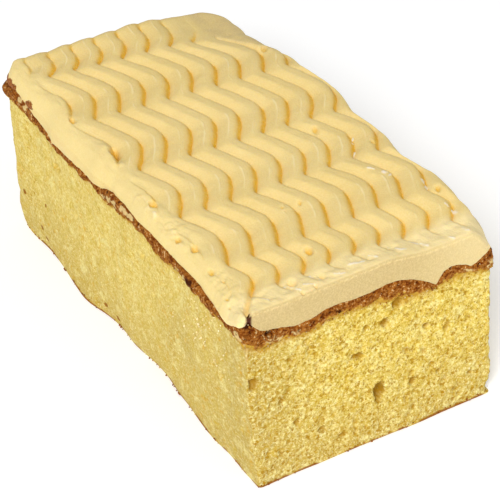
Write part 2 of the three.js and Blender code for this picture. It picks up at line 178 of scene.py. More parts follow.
def pits(places, cell_size, radius, chance, seed):
    """Round hollows, one at most in each cell: 0 outside and 1 at a hollow's middle."""
    spot = places / cell_size
    cell = np.floor(spot).astype(np.int64)
    deepest = np.zeros(places.shape[:-1])
    for step in np.ndindex(3, 3, 3):
        there = cell + np.array(step) - 1
        middle = there + np.stack([dice(there, seed + axis) for axis in (1, 2, 3)], axis=-1)
        away = np.linalg.norm(spot - middle, axis=-1) * cell_size
        size = mix(radius[0], radius[1], dice(there, seed + 4))
        is_there = dice(there, seed + 5) < chance
        hollow = np.clip(1 - (away / size) ** 2, 0, 1) * is_there
        deepest = np.maximum(deepest, hollow)
    return deepest


# %% [markdown]
# ## From a grid to a skin
#
# Each skin starts as Blender's own grid primitive. Its points are then put in their
# places by the formulas, its edges that meet are merged, and it is smoothed. A grid that
# is wrapped round the bar and closed to a point above and below makes a closed solid.

# %% Grids into skins
MERGE_WITHIN = 2e-6             # points closer than this, in metres, are the same point
SHARP = 80                      # crumb keeps its edges where faces turn by more degrees


def deselect_all():
    if bpy.context.object and bpy.context.object.mode != "OBJECT":
        bpy.ops.object.mode_set(mode="OBJECT")
    bpy.ops.object.select_all(action="DESELECT")


def add_sheet(name, places, marks):
    """A grid primitive whose points are put at these places, with marks kept on them."""
    deselect_all()
    rows, columns = places.shape[:2]
    bpy.ops.mesh.primitive_grid_add(x_subdivisions=columns - 1, y_subdivisions=rows - 1, size=1)
    piece = bpy.context.object
    piece.name = name
    piece.data.name = name
    piece.data.vertices.foreach_set("co", to_metres(places).astype(np.float32).ravel())
    for mark, values in marks.items():
        layer = piece.data.attributes.new(mark, "FLOAT", "POINT")
        layer.data.foreach_set("value", np.asarray(values, dtype=np.float32).ravel())
    return piece


def close_skin(pieces, name, sharp_angle):
    """Joins the sheets, merges the edges that meet, and shades the skin smooth."""
    deselect_all()
    for piece in pieces:
        piece.select_set(True)
    bpy.context.view_layer.objects.active = pieces[0]
    if len(pieces) > 1:
        bpy.ops.object.join()
    piece = bpy.context.object
    bpy.ops.object.mode_set(mode="EDIT")
    bpy.ops.mesh.select_all(action="SELECT")
    bpy.ops.mesh.remove_doubles(threshold=MERGE_WITHIN)
    bpy.ops.mesh.normals_make_consistent(inside=False)
    bpy.ops.object.mode_set(mode="OBJECT")
    bpy.ops.object.shade_smooth_by_angle(angle=math.radians(sharp_angle))
    bpy.ops.object.transform_apply(location=True, rotation=True, scale=True)
    piece.name = name
    piece.data.name = name
    print(name, len(piece.data.vertices), "points,", len(piece.data.polygons), "faces")
    return piece


def outwards(places):
    """Which way each point of a wrapped grid faces. Its columns run anticlockwise."""
    along = np.roll(places, -1, axis=1) - np.roll(places, 1, axis=1)
    up = np.gradient(places, axis=0)
    facing = np.cross(along, up)
    return facing / np.maximum(np.linalg.norm(facing, axis=-1, keepdims=True), 1e-9)


def wrap(grid):
    """Repeats the first column at the end, where the wrapped grid meets itself."""
    return np.concatenate([grid, grid[:, :1]], axis=1)


# %% [markdown]
# ## The outline of the sponge
#
# Seen from above, the bar narrows towards the back on its right side, its back right
# corner is broad and round, and the cut front leaves two sharp corners. The outline is
# walked once round, anticlockwise. Points stand closest on the front face, which is the
# cut that shows the most crumb.

# %% The sponge's outline
SPONGE_FRONT = -1.8
SPONGE_CORNERS = {"front": 1.5, "back_left": 6, "back_right": 18}
BACK_NARROWING = 6.5            # the bar is this much narrower at its back
BACK_LEFT_BULGE = 1.2
EDGE_WANDER = {"sponge": 0.3, "icing": 0.5}
SPACING = {"front": 0.5, "right": 1.15, "back": 1.15, "left": 0.72}
PATH_STEPS = 2000               # fine steps along a side, before its points are spaced


def sponge_left(v):
    edge = EDGE_WANDER["sponge"] * (1 + wander(v, 1.7))
    edge = edge - BACK_LEFT_BULGE * ease(160, 184, v)
    edge = edge + corner_cut(LENGTH - v, SPONGE_CORNERS["back_left"])
    return edge + corner_cut(v - SPONGE_FRONT, SPONGE_CORNERS["front"])


def sponge_right(v):
    edge = WIDTH - EDGE_WANDER["sponge"] * (1 + wander(v, 4.2))
    edge = edge - BACK_NARROWING * ease(110, 184, v)
    edge = edge - corner_cut(LENGTH - v, SPONGE_CORNERS["back_right"])
    return edge - corner_cut(v - SPONGE_FRONT, SPONGE_CORNERS["front"])


def walk_outline(spacing):
    """Places (u, v) round the sponge, anticlockwise from its front left corner."""
    turn = np.linspace(0, math.pi, 2 * PATH_STEPS)
    v = mix(SPONGE_FRONT, LENGTH, (1 - np.cos(turn)) / 2)
    across = np.linspace(0, 1, PATH_STEPS)
    front = np.stack([mix(sponge_left(v[0]), sponge_right(v[0]), across), v[0] + 0 * across], 1)
    back = np.stack([mix(sponge_right(v[-1]), sponge_left(v[-1]), across), v[-1] + 0 * across], 1)
    sides = {
        "front": front,
        "right": np.stack([sponge_right(v), v], 1),
        "back": back,
        "left": np.stack([sponge_left(v), v], 1)[::-1],
    }
    path = np.concatenate([side[:-1] for side in sides.values()] + [front[:1]])
    gap = np.concatenate([np.full(len(side) - 1, spacing[name]) for name, side in sides.items()])
    steps = np.linalg.norm(np.diff(path, axis=0), axis=1) / gap
    reached = np.concatenate([[0], np.cumsum(steps)])
    stops = np.arange(int(reached[-1])) * reached[-1] / int(reached[-1])
    return np.interp(stops, reached, path[:, 0]), np.interp(stops, reached, path[:, 1])


outline_u, outline_v = walk_outline(SPACING)
print("the sponge's outline has", len(outline_u), "points")

# %% [markdown]
# ## The line of the crust
#
# The upper edge of a baked bar is never level: the batter rose in humps, and along the
# cut front the crust sags and gapes near its right end. So the lower and the upper edge
# of the crust are lists of heights on the front and on the left side, and a few round
# humps give them on the right and at the back, where one even line would look cut out.

# %% The crust's two edges
CRUST_BAND = 4.6                # usual height of the browned band
FRONT_SAG = 3.0                 # the crust lies this much lower along the cut front
CRUST_HUMPS = [                 # u, v, rise, reach
    (2, 0, 4.6, 5), (24, 0, -1.2, 7), (34, 0, 1.6, 6), (60, 0, 3.0, 9), (78.5, 0, -7.6, 4),
    (92, 0, -2.6, 4), (0, 40, 3.0, 7), (0, 62, 3.0, 12), (0, 86, 3.0, 12), (0, 128, -3.2, 14),
    (0, 154, -4.6, 13), (0, 186, 4.5, 10), (100, 38, 2.0, 12), (100, 84, -2.6, 14),
    (100, 132, 2.2, 15), (24, 189, 2.0, 10), (60, 189, -1.6, 14), (100, 186, -3.0, 20),
    (103, 12, -2.4, 11),
]


def crust_top(u, v):
    """Height of the baked edge: level, but for the sag along the front and the humps."""
    height = SPONGE_HEIGHT - FRONT_SAG * ease(14, 0, v) * ease(6, 26, u)
    for hump_u, hump_v, rise, reach in CRUST_HUMPS:
        height = height + rise * np.exp(-((u - hump_u) ** 2 + (v - hump_v) ** 2) / reach ** 2)
    return height


def crust_band(u, v):
    """How tall the browned band is. It is tallest at the front left corner."""
    corner = np.exp(-((u - 6) ** 2 + v ** 2) / 12 ** 2)
    return CRUST_BAND + wander(u * 0.9 + v * 0.6, 2.2) + 2.2 * corner


FRONT_CRUST = np.array([        # u, lower and upper edge of the crust on the cut front
    (-3, 62.5, 71.4), (0, 62.0, 71.6), (1.4, 61.8, 72.6), (2.8, 61.2, 74.4), (3.5, 61.0, 71.8),
    (4.6, 60.8, 70.4), (6, 60.4, 68.8), (7.5, 60.3, 67.4), (9, 60.3, 66.8), (12, 60.3, 66.4),
    (15, 60.6, 65.7), (20, 59.7, 64.0), (27, 59.8, 64.2), (33, 61.0, 66.0), (39, 61.3, 66.2),
    (45, 60.2, 65.5), (51, 60.2, 65.6), (57, 59.3, 66.5), (63, 58.2, 66.0), (68, 57.6, 64.2),
    (72, 57.4, 62.0), (75, 57.2, 60.0), (76.7, 57.1, 58.6), (78, 56.8, 57.6), (79.4, 57.2, 60),
    (81, 57.5, 62.3), (84, 58.5, 63.4), (87, 58.5, 62.9), (90, 58.2, 61.6), (92.7, 57.8, 59.8),
    (95, 57.1, 60.4), (97.5, 56.4, 62.4), (100, 55.9, 63.5), (104, 56.0, 63.6),
])
LEFT_CRUST = np.array([         # v, lower and upper edge on the left side
    (-3, 62.5, 71.4), (3.5, 63.8, 71.4), (6, 64.2, 70.0), (8, 64.3, 69.0), (12, 64.6, 68.2),
    (16, 64.9, 68.4), (22, 63.7, 68.0), (28, 64.9, 68.2), (32, 65.9, 69.2), (37, 65.1, 69.4),
    (42, 65.8, 69.2), (48, 65.7, 69.0), (54, 64.3, 69.4), (60, 63.2, 69.4), (65, 62.8, 69.4),
    (69, 65.0, 69.4), (73, 66.1, 69.4), (78, 65.2, 69.4), (84, 64.7, 69.2), (90, 63.1, 69.0),
    (97, 63.1, 68.4), (101, 61.8, 67.6), (105, 61.4, 66.0), (110, 62.4, 65.2), (116, 63.0, 64.9),
    (121, 61.4, 64.7), (128, 62.1, 64.8), (134, 60.0, 63.8), (140, 60.4, 63.6), (145, 60.0, 62.6),
    (149, 61.5, 64.1), (154, 61.8, 65.2), (160, 61.6, 66.4), (165, 60.5, 67.6), (169, 61.2, 68.6),
    (174, 62.7, 69.4), (180, 62.8, 68.4), (185, 62.3, 66.4), (192, 62.0, 66.0),
])


def crust_edges(u, v):
    """Heights of the lower and the upper edge of the crust, all round the bar."""
    low, high = crust_top(u, v) - crust_band(u, v), crust_top(u, v)
    on_left = ease(14, 5, u)
    on_front = ease(9, 3, v) * mix(1, ease(0.5, 3.5, u), ease(0, 4, v))
    for edges, place, share in ((LEFT_CRUST, v, on_left), (FRONT_CRUST, u, on_front)):
        low = mix(low, np.interp(place, edges[:, 0], edges[:, 1]), share)
        high = mix(high, np.interp(place, edges[:, 0], edges[:, 2]), share)
    return low, high


edge_low, edge_high = crust_edges(outline_u, outline_v)
band_heights = (edge_high - edge_low).round(1)
print("the crust band is", band_heights.min(), "to", band_heights.max(), "mm tall")

# %% [markdown]
# ## The walls
#
# The sponge's walls wander a little, the cut front leans back towards its top, and the
# foot draws in and is torn where the bar was lifted. One function gives the place of any
# point of the wall from its outline and its height, so that crumb, crust and crumbs all
# follow the same wall.

# %% Places on the walls
PULL_RANGE = 16                 # a wall's pull fades out over this distance inwards
FRONT_LEAN = 4.0                # the cut front leans back this far at its top
LEAN_REACH = 8
WALL_INSET = 0.6                # the walls stand this far inside the outline
WALL_UNEVEN = 0.35
BASE_UNDERCUT = 1.4             # the foot draws in this far
UNDERCUT_HEIGHT = 15
FOOT_TEARS = [(72, 3.2, 16), (130, -3.0, 14)]          # v, depth, reach


def draw_in(u, v, side, end):
    """Pulls places in from the long side and from the end that they are near."""
    sideways = ease(PULL_RANGE, 0, u) - ease(PULL_RANGE, 0, WIDTH - u)
    endways = ease(PULL_RANGE, 0, v) - ease(PULL_RANGE, 0, LENGTH - v)
    return u + side * sideways, v + end * endways


def lean_back(v, z):
    """Leans the front back, the more the higher up it is."""
    return v + FRONT_LEAN * (z / SPONGE_HEIGHT) * ease(LEAN_REACH, 0, v)


def wall_places(u, v, z, bulge):
    """Places on the sponge's side at these heights, this far out of the wall."""
    uneven = WALL_UNEVEN * wander(u * 0.8 + v * 0.7 + z * 0.5, 5.3)
    wall = WALL_INSET + uneven - bulge
    foot = BASE_UNDERCUT * (1 + 0.6 * wander(v * 0.6 + u, 0.6))
    for tear_v, depth, reach in FOOT_TEARS:
        foot = foot + depth * bell(v - tear_v, reach) * ease(WIDTH, 0, u)
    undercut = foot * np.maximum(0, 1 - z / UNDERCUT_HEIGHT) ** 2
    at_front = ease(PULL_RANGE, 0, v)
    drawn_u, drawn_v = draw_in(u, v, wall + undercut, wall + undercut * (1 - at_front))
    return np.stack([drawn_u, lean_back(drawn_v, z), z + 0 * drawn_u], axis=-1)


# %% [markdown]
# ## The sponge's crumb
#
# Sponge crumb is a foam: thin walls round bubbles of half a millimetre to several
# millimetres, torn open by the knife on the front face and rubbed finer on the long
# sides. Colour alone makes it look like painted plaster, so the bubbles are real
# hollows in the mesh. Small ones come from a rule with fixed random numbers, and the
# few large ones have their own places.

# %% The large bubbles
OPEN_BUBBLES = [                # u, z, half width, half height, depth on the cut front
    (3.5, 45, 2.6, 2.7, 2.4), (45, 40, 3.2, 1.9, 2.2), (53.5, 21, 2.6, 4.6, 4.2),
    (57, 49, 2.3, 1.8, 2.2), (62.5, 55.5, 2.2, 2.4, 2.6), (68, 19, 2.0, 1.7, 2.0),
    (82.5, 37, 2.6, 1.6, 1.5), (49, 50.5, 1.6, 1.3, 1.6), (79, 19, 1.4, 1.2, 1.4),
    (74, 41, 1.4, 1.2, 1.3), (92.5, 12.5, 1.3, 1.1, 1.2), (86, 8, 1.2, 1.0, 1.2),
    (25, 55, 1.6, 1.4, 1.2), (30, 14, 1.8, 1.2, 1.2), (14, 33, 1.5, 1.6, 1.3),
    (38, 8, 2.0, 1.2, 1.2), (66, 34, 2.2, 1.3, 1.0), (20, 22, 1.4, 1.2, 1.1),
]
SIDE_BUBBLES = [                # v, z, half width, half height, depth on the left side
    (20, 37, 1.7, 1.5, 1.4), (77, 53, 2.4, 1.8, 1.6), (147, 49, 2.7, 2.0, 1.8),
    (132, 36, 1.5, 1.2, 1.0), (69, 40, 1.6, 1.2, 1.0), (60, 51, 1.4, 1.1, 1.0),
    (8, 42, 1.4, 1.6, 1.2), (14, 30, 1.3, 1.2, 0.9), (96, 30, 1.2, 1.0, 0.8),
    (118, 20, 1.3, 1.0, 0.8), (44, 18, 1.3, 1.1, 0.8), (30, 12, 1.2, 1.0, 0.7),
]


def open_bubbles(places, on_front):
    """Depth of the large hollows, in millimetres."""
    depth = np.zeros(places.shape[:-1])
    spots = OPEN_BUBBLES if on_front else SIDE_BUBBLES
    along = places[..., 0] if on_front else places[..., 1]
    rough = 0.55 * cloud(places, 2.0, 31, 3)
    for middle, height, half_width, half_height, deep in spots:
        away = ((along - middle) / half_width) ** 2 + ((places[..., 2] - height) / half_height) ** 2
        share = ease(0, 0.75, 1.1 - away + rough)
        depth = np.maximum(depth, deep * share * (away < 2.5))
    return depth


# %% The crumb's relief
SIDE_ROUGHNESS = 0.42           # of the long sides, where the cut front's is 1
ALONG_THE_BAR = np.array([1, 0.9, 1])          # the grain is drawn out a little lengthwise
FRONT_REACH = 6                 # the cut front's rough crumb ends this far back
REACH_FADE = 6


def crumb_relief(places, faces):
    """How far the crumb stands out (+) or in (-), and how hollow it is there."""
    front = clamp(-faces[..., 1] * 1.3)
    front = front * ease(FRONT_REACH + REACH_FADE, FRONT_REACH, places[..., 1])
    left = clamp(-faces[..., 0] * 1.3)
    grain = places * ALONG_THE_BAR
    craggy = 0.36 * cloud(grain, 3.2, 5) + 0.2 * cloud(grain, 1.5, 7)
    sway = np.stack([cloud(grain, 1.6, seed) for seed in (8, 9, 10)], axis=-1)
    swayed = grain + 0.55 * sway
    fine = pits(swayed, 2.0, (0.5, 1.05), 0.75, 11) ** 0.8
    middling = pits(swayed, 4.8, (0.9, 2.1), 0.4, 23) ** 0.8
    holes = 0.5 * fine + 0.95 * middling * mix(0.2, 1, front)
    large = open_bubbles(places, True) * (front > 0.5) + open_bubbles(places, False) * (left > 0.5)

    left_edge = bell(places[..., 0], 3) * bell(places[..., 1] - SPONGE_FRONT - 3, 4)
    left_edge = left_edge * clamp(0.5 + 1.1 * cloud(places, 7.0, 27))
    right_foot = ease(8, 0, WIDTH - places[..., 0])
    right_foot = right_foot * ease(9, 0, places[..., 1]) * ease(9, 0, places[..., 2])
    broad = 0.34 * cloud(places, 8.0, 3) - 1.5 * left_edge - 2.0 * right_foot
    relief = broad + mix(SIDE_ROUGHNESS, 1.0, front) * (craggy - 0.8 * holes) - large
    # How hollow each point is. The finish paints this as shade.
    hollow = 0.55 * fine + 0.6 * middling * mix(0.3, 1, front) - 0.5 * craggy + 0.6 * large
    return relief, clamp(hollow)


# %% The crumb's marks
SIDE_GRAIN = 0.25               # how open the grain is on the long sides. The front's is 1
SHADED_PLACE = (50, 33)           # v, z of a place on the left side that is painted darker as shade
BROWN_SPOTS = [                 # v, z, reach of small baked spots on the left side
    (166, 9, 1.1), (163, 5, 1.3), (179, 19, 1.2), (162, 22, 0.8), (113, 5.4, 1.1), (104, 4.7, 1.3),
]


def crumb_marks(u, v, z, places, faces, lower_crust):
    """Numbers for the finish: where the crumb is browned, open or pale, and where shade is painted.
    """
    spots = sum(bell(v - spot_v, reach) * bell(z - spot_z, reach)
                for spot_v, spot_z, reach in BROWN_SPOTS)
    foot = bell(z, 0.9) * clamp(0.6 + 0.9 * cloud(places, 5.0, 41))
    # Browned crumb under the crust, partly painted shade below its overhang.
    near_crust = bell(z - lower_crust, np.maximum(0.8, 2.4 + 2.2 * cloud(places, 6.0, 43)))
    arris = bell(u, 1.8) * bell(v - SPONGE_FRONT, 3.0) * ease(44, 62, z)
    # A place on the left side, painted darker as shade.
    shaded_spot = 0.8 * bell(v - SHADED_PLACE[0], 16) * bell(z - SHADED_PLACE[1], 14)
    return {
        "foot": foot + 1.1 * spots * ease(12, 4, u),
        "near_crust": near_crust,
        "open_grain": mix(SIDE_GRAIN, 1.0, clamp(-faces[..., 1] * 1.5)),
        "arris": arris * clamp(0.6 + 1.2 * cloud(places, 3.0, 45)),
        "painted_shade": bell(u, 26) * (bell(v, 30) + shaded_spot),
    }


# %% Building the crumb
FOOT_LEVELS = [0.0, 0.0025, 0.006, 0.012]      # close rows round off the foot's edge
CRUMB_LEVELS = np.concatenate([FOOT_LEVELS, np.linspace(0.02, 1, 124)])
CRUMB_SET_IN = 0.25             # the torn crumb lies this far inside the wall
CRUMB_PROUD = 0.3               # and stands out of it by no more than this
CRUMB_UNDER_CRUST = 1.5         # the crumb goes on this far behind the crust
CRUMB_TOP = SPONGE_HEIGHT - 3   # it closes at this height, under the icing


def close_crumb(skin):
    """Rings that close the skin to a point below it and above it."""
    middle = np.array([WIDTH / 2, LENGTH / 2, 0])
    below = [mix(skin[0], middle, share) for share in (1.0, 0.5)]
    head = skin[-1]
    above = []
    for share in (0.03, 0.12, 0.5):
        ring = mix(head, middle, share)
        ring[:, 2] = mix(head[:, 2], np.minimum(head[:, 2], CRUMB_TOP), share)
        above.append(ring)
    above.append(head * 0 + [middle[0], middle[1], CRUMB_TOP])
    return below, above


def build_crumb():
    u, v = walk_outline(SPACING)
    lower_crust = crust_edges(u, v)[0]
    rounding = np.where(CRUMB_LEVELS < 0.002, -0.4, 0)[:, None]
    z = CRUMB_LEVELS[:, None] * (lower_crust + CRUMB_UNDER_CRUST)[None, :]
    places = wall_places(u[None, :], v[None, :], z, rounding)
    faces = outwards(places)
    relief, hollow = crumb_relief(places, faces)
    steady = ease(0, 1.2, z) * ease(1.02, 0.97, CRUMB_LEVELS)[:, None]
    relief = np.minimum(relief - CRUMB_SET_IN, CRUMB_PROUD) * steady
    skin = places + faces * relief[..., None]
    skin[..., 2] = np.maximum(skin[..., 2], 0)
    below, above = close_crumb(skin)
    marks = {"hollow": hollow, **crumb_marks(u, v, z, places, faces, lower_crust)}
    pad = ((len(below), len(above)), (0, 0))
    marks = {name: wrap(np.pad(values, pad, mode="edge")) for name, values in marks.items()}
    whole = np.concatenate([np.stack(below), skin, np.stack(above)])
    return close_skin([add_sheet("sponge_crumb", wrap(whole), marks)], "sponge_crumb", SHARP)


crumb = build_crumb()

# %% [markdown]
# ## The crust
#
# The bar's upper edge was the top of the baked cake. Its sugar browned there, so a band,
# mostly four to seven millimetres tall, stands a little proud of the wall, crumbly at
# its lower edge and smeared with icing at its upper one. It is a ring of its own, because
# it needs finer points than the crumb and its own finish. Its section is a closed loop.

# %% The crust's relief
CRUST_NOTCHES = [               # u, z, half width, half height, strength on the cut front
    (2.9, 72.6, 1.9, 2.4, 1.0), (12.3, 66.2, 1.5, 1.3, 0.7), (10.1, 64.8, 1.3, 1.3, 0.5),
]
CRUST_KNOB = (3.4, 66.8, 3.2, 3.0)      # a thick place near the front left corner


def crust_relief(u, z, outside, on_front, thick):
    """How far the crust stands out (+) or in (-), and how much painted shade darkens it there."""
    grain = 0.34 * cloud(outside, 1.3, 71, 2) + 0.3 * cloud(outside, 4.0, 73)
    holes = pits(outside, 2.1, (0.4, 1.0), 0.7, 79)
    notch = on_front * sum(
        strength * bell(u - middle, half_width) * bell(z - height, half_height)
        for middle, height, half_width, half_height, strength in CRUST_NOTCHES)
    middle, height, half_width, half_height = CRUST_KNOB
    knob = bell(u - middle, half_width) * bell(z - height, half_height) * on_front
    relief = (grain - 0.6 * holes) * clamp(thick / 2.5) + 1.3 * knob - 2.6 * notch
    # Darker in its pits, low grain and notches: painted shade.
    return relief, holes - 0.9 * grain + 2.5 * notch


# %% Icing smeared on the crust
def crust_smears(u, v, outside, outer, on_band, on_front):
    """Where icing was smeared over the crust by the spreader and the knife."""
    line = 0.6 + 0.25 * cloud(on_band, 9.0, 85)
    patchy = 0.65 * bell(v - 94, 12) + 1.3 * cloud(outside * ALONG_THE_BAR, 3.0, 83, 3)
    streak = bell(outer - line, 0.22) * clamp(0.02 + patchy)
    streak = streak * ease(6, 16, v) * ease(112, 100, v) * ease(40, 20, u)
    floury = bell(outer - 0.3, 0.3) * (bell(u - 16, 9) + bell(u - 96, 9)) * on_front
    floury = floury * clamp(0.5 + 1.2 * cloud(outside, 2.5, 87, 3))
    dragged = bell(v - 1, 7) * ease(2.2, 0.6, u) * clamp(0.4 + 1.4 * cloud(outside, 2.0, 89, 3))
    back_left = bell(v - 171, 7) * ease(0.3, 0.6, outer) * ease(20, 10, u)
    back_left = back_left * clamp(0.5 + 1.4 * cloud(outside, 2.6, 84, 3))
    return streak + 0.9 * floury + 0.8 * dragged + 0.9 * back_left


# %% Building the crust
CRUST_SPACING = {"front": 0.4, "right": 0.8, "back": 0.8, "left": 0.45}
CRUST_ROWS = 24                 # rows of points up the crust's outer face
CRUST_BACK = 2.4                # how far the ring reaches into the bar
CRUST_BULGE = 1.1               # the band swells this far out of the wall
CRUST_PROUD = 0.35              # and stands out of the crumb by at least this
DARK_LUMP = (38.5, 67.2)        # v, z of a burnt lump on the left side
DARK_TIP = (2.4, 71.6)          # u, z of the burnt tip at the front left corner


def build_crust():
    u, v = walk_outline(CRUST_SPACING)
    low, high = crust_edges(u, v)
    thick = high - low
    on_front = ease(4, 1, v)
    on_band = np.stack([u, v, 0 * u], axis=-1)
    outer = np.linspace(0, 1, CRUST_ROWS)[:, None]
    ragged = 0.8 * cloud(on_band, 2.2, 61, 3) * clamp(thick / 3)
    z = high + 0.2 - (1 - outer) * (thick + 0.8 + ragged)
    bulge = CRUST_BULGE * mix(1, 0.2, on_front) * np.sin(math.pi * outer) ** 0.6 + CRUST_PROUD
    bulge = bulge * mix(1, 0.3, bell(v - 12, 12) * ease(90, 98, u))
    bulge = bulge * ease(0, 0.06, outer) - 0.8 * ease(0.94, 1.0, outer)
    outside = wall_places(u[None, :], v[None, :], z, bulge)
    relief, dark = crust_relief(u, z, outside, on_front, thick)
    steady = np.sin(math.pi * outer) ** 0.4
    skin = outside + outwards(outside) * (relief * steady)[..., None]
    inner = [wall_places(u, v, height, -CRUST_BACK + 0 * u) for height in (high - 0.2, low + 1.0)]
    ring = np.concatenate([skin, np.stack(inner), skin[:1]])

    lump = bell(v - DARK_LUMP[0], 3.0) * bell(z - DARK_LUMP[1], 1.6) * ease(20, 10, u)
    tip = bell(u - DARK_TIP[0], 3.4) * bell(z - DARK_TIP[1], 1.3) * on_front
    # The burnt lump and tip are the crust's own dark colour, laid on its painted shade.
    dark = dark + 1.4 * lump + 1.1 * tip
    smear = crust_smears(u, v, outside, outer, on_band, on_front)
    marks = {
        "hollow": np.concatenate([dark, dark[:3]]),
        "smear": np.concatenate([smear, smear[:3]]),
        "height": np.concatenate([outer + 0 * z, np.ones((1, len(u))), np.zeros((2, len(u)))]),
    }
    marks = {name: wrap(values) for name, values in marks.items()}
    return close_skin([add_sheet("crust", wrap(ring), marks)], "crust", SHARP)


crust = build_crust()

# %% [markdown]
# ## The comb's path
#
# A baker draws a toothed comb along the soft icing and swings it from side to side. Each
# tooth leaves a mark with a long ramp on its left, a flat, and a steep wall on its right.
# The comb turned sharply at its left-hand ends and in a round sweep at its right-hand
# ones. So the icing's grid follows the comb: its columns are places in a tooth's mark,
# and its rows are steps of the comb along the bar.

# %% The comb's sizes
COMB_PITCH = 9.93               # from tooth to tooth, measured on the bar
PITCH_GAIN = 0.22               # a little wider towards the front
COMB_DEPTH = 2.5
FIRST_GROOVE = 0.3
GROOVES = 9
COMB_TURNS = np.array([         # v, swing to the right
    (-2, 5.0), (13, -0.7), (20, 5.2), (30.5, 1.0), (46, 7.2), (63.5, 0.2), (79, 8.2),
    (97, 1.6), (114, 10.7), (135, 2.6), (150, 9.9), (169.5, 0.5), (177.5, 8.0),
    (181, 6.5), (192, 10.5),
])
TURN_ROUNDING = 0.45
ROW_SKEW = 0.085                # the comb was held askew by this slope
SKEW_START = 20
SKEW_FULL = 130
MARK_TO_LEFT = np.array([       # share of the pitch, height, where the comb moved left
    (0, 0.14), (0.04, 0.21), (0.1, 0.34), (0.2, 0.57), (0.3, 0.82), (0.36, 0.94), (0.41, 0.99),
    (0.46, 1.0), (0.6, 0.97), (0.7, 0.945), (0.8, 0.91), (0.86, 0.86), (0.9, 0.74),
    (0.94, 0.52), (0.97, 0.32), (1, 0.14),
])
MARK_TO_RIGHT = np.array([      # and where it moved right
    (0, 0.0), (0.04, 0.14), (0.1, 0.32), (0.2, 0.52), (0.3, 0.68), (0.4, 0.82), (0.5, 0.93),
    (0.6, 0.96), (0.67, 0.94), (0.74, 0.87), (0.8, 0.74), (0.85, 0.58), (0.9, 0.38), (0.94, 0.21),
    (0.97, 0.09), (1, 0.0),
])
COLUMN_SHARES = [0, 0.04, 0.08, 0.13, 0.19, 0.26, 0.34, 0.41, 0.46, 0.5, 0.54, 0.6, 0.67,
                 0.74, 0.8, 0.85, 0.9, 0.94, 0.97]


# %% The comb's swing
def straight_swing(v):
    """The comb's swing with sharp turns, and whether it is moving to the right."""
    step = np.clip(np.searchsorted(COMB_TURNS[:, 0], v, side="right"), 1, len(COMB_TURNS) - 1)
    here, there = COMB_TURNS[step - 1], COMB_TURNS[step]
    share = clamp((v - here[..., 0]) / (there[..., 0] - here[..., 0]))
    to_right = there[..., 1] > here[..., 1]
    swept = np.where(to_right, np.sin(share * math.pi / 2), 1 - np.cos(share * math.pi / 2))
    swing = mix(here[..., 1], there[..., 1], mix(share, swept, TURN_ROUNDING))
    return swing, to_right * 1.0


def soften(values, reach, step):
    """A running mean of evenly spaced values over about this reach."""
    spread = np.arange(-3 * reach, 3 * reach + step, step)
    weights = np.exp(-(spread / reach) ** 2)
    padded = np.pad(values, len(spread) // 2, mode="edge")
    return np.convolve(padded, weights / weights.sum(), mode="valid")[:len(values)]


SWING_STEP = 0.1
SWING_V = np.arange(-12, LENGTH + 24, SWING_STEP)
SWING_SHARP, MOVING_RIGHT = straight_swing(SWING_V)
SWING_ROUND = soften(SWING_SHARP, 3.4, SWING_STEP)
SWING_CRISP = soften(SWING_SHARP, 0.9, SWING_STEP)
RIGHT_TURNS = sum(bell(SWING_V - turn[0], 5.0) for turn in COMB_TURNS[2::2])
SWING_GROOVE = mix(SWING_CRISP, SWING_ROUND, clamp(RIGHT_TURNS))
RIGHT_GROOVE = soften(MOVING_RIGHT, 1.2, SWING_STEP)
RIGHT_ROUND = soften(MOVING_RIGHT, 3.2, SWING_STEP)


def comb_swing(v, share=0.0):
    """How far to the right the comb stands, and how much it is moving to the right.

    The groove turns sharply at its left-hand ends. The flats between turn in a sweep."""
    flat = ease(0, 0.3, share) * ease(1, 0.8, share)
    swing = mix(np.interp(v, SWING_V, SWING_GROOVE), np.interp(v, SWING_V, SWING_ROUND), flat)
    to_right = mix(np.interp(v, SWING_V, RIGHT_GROOVE), np.interp(v, SWING_V, RIGHT_ROUND), flat)
    return swing, to_right


print("the comb swings", np.ptp(SWING_ROUND).round(1), "mm from side to side")

# %% [markdown]
# ## The icing's outline and height
#
# The layer was spread with a palette knife, so it is rounded at its left shoulder, drawn
# in at its corners, and slumped and wiped flat at the back right. Before any comb mark it
# is given as one height over each place, with a drop near each side. Drops that meet at a
# corner are joined softly by a sum of fourth powers.

# %% The icing's outline and height
ICING_FRONT = 2
ICING_BACK = LENGTH - 1.6
ICING_CORNERS = {"front_left": 2.2, "front_right": 2.5, "back_left": 9, "back_right": 15}
ICING_OVERHANG = 0.4
CRUST_LEDGE = 1.2               # the icing stays this far back from the left crust
ICING_SETBACK = {"front": 1.6, "back": 4.2}
DRAGGED_SHARE = 0.28            # the right edge was dragged along by this part of the swing
SHOULDERS = {"left": (9, 6.2), "right": (6, 5), "back": (5, 4), "front": (1.6, 0.9)}
FRONT_RIGHT_RISE = 1.4
FRONT_RIGHT_DROOP = 2.6
FRONT_RIGHT_CHAMFER = (8, 9)    # width and drop of the corner's long slope
BACK_LEFT_RISE = 0.8
SLUMP_DROP = 5.8
SLUMP_SOFTENING = 0.6
WIPED_IN = 2.3                  # where the wiped corner starts, the edge was wiped in too
LOBE_STANDS = 0.65              # the lobe at the front left keeps only the rest of its drop


def icing_left(v):
    edge = EDGE_WANDER["icing"] * wander(v, 3.1) - ICING_OVERHANG
    edge = edge + CRUST_LEDGE * ease(12, 24, v) * ease(112, 98, v)
    edge = edge + corner_cut(ICING_BACK + 1.6 - v, ICING_CORNERS["back_left"])
    return edge + corner_cut(v - ICING_FRONT, ICING_CORNERS["front_left"])


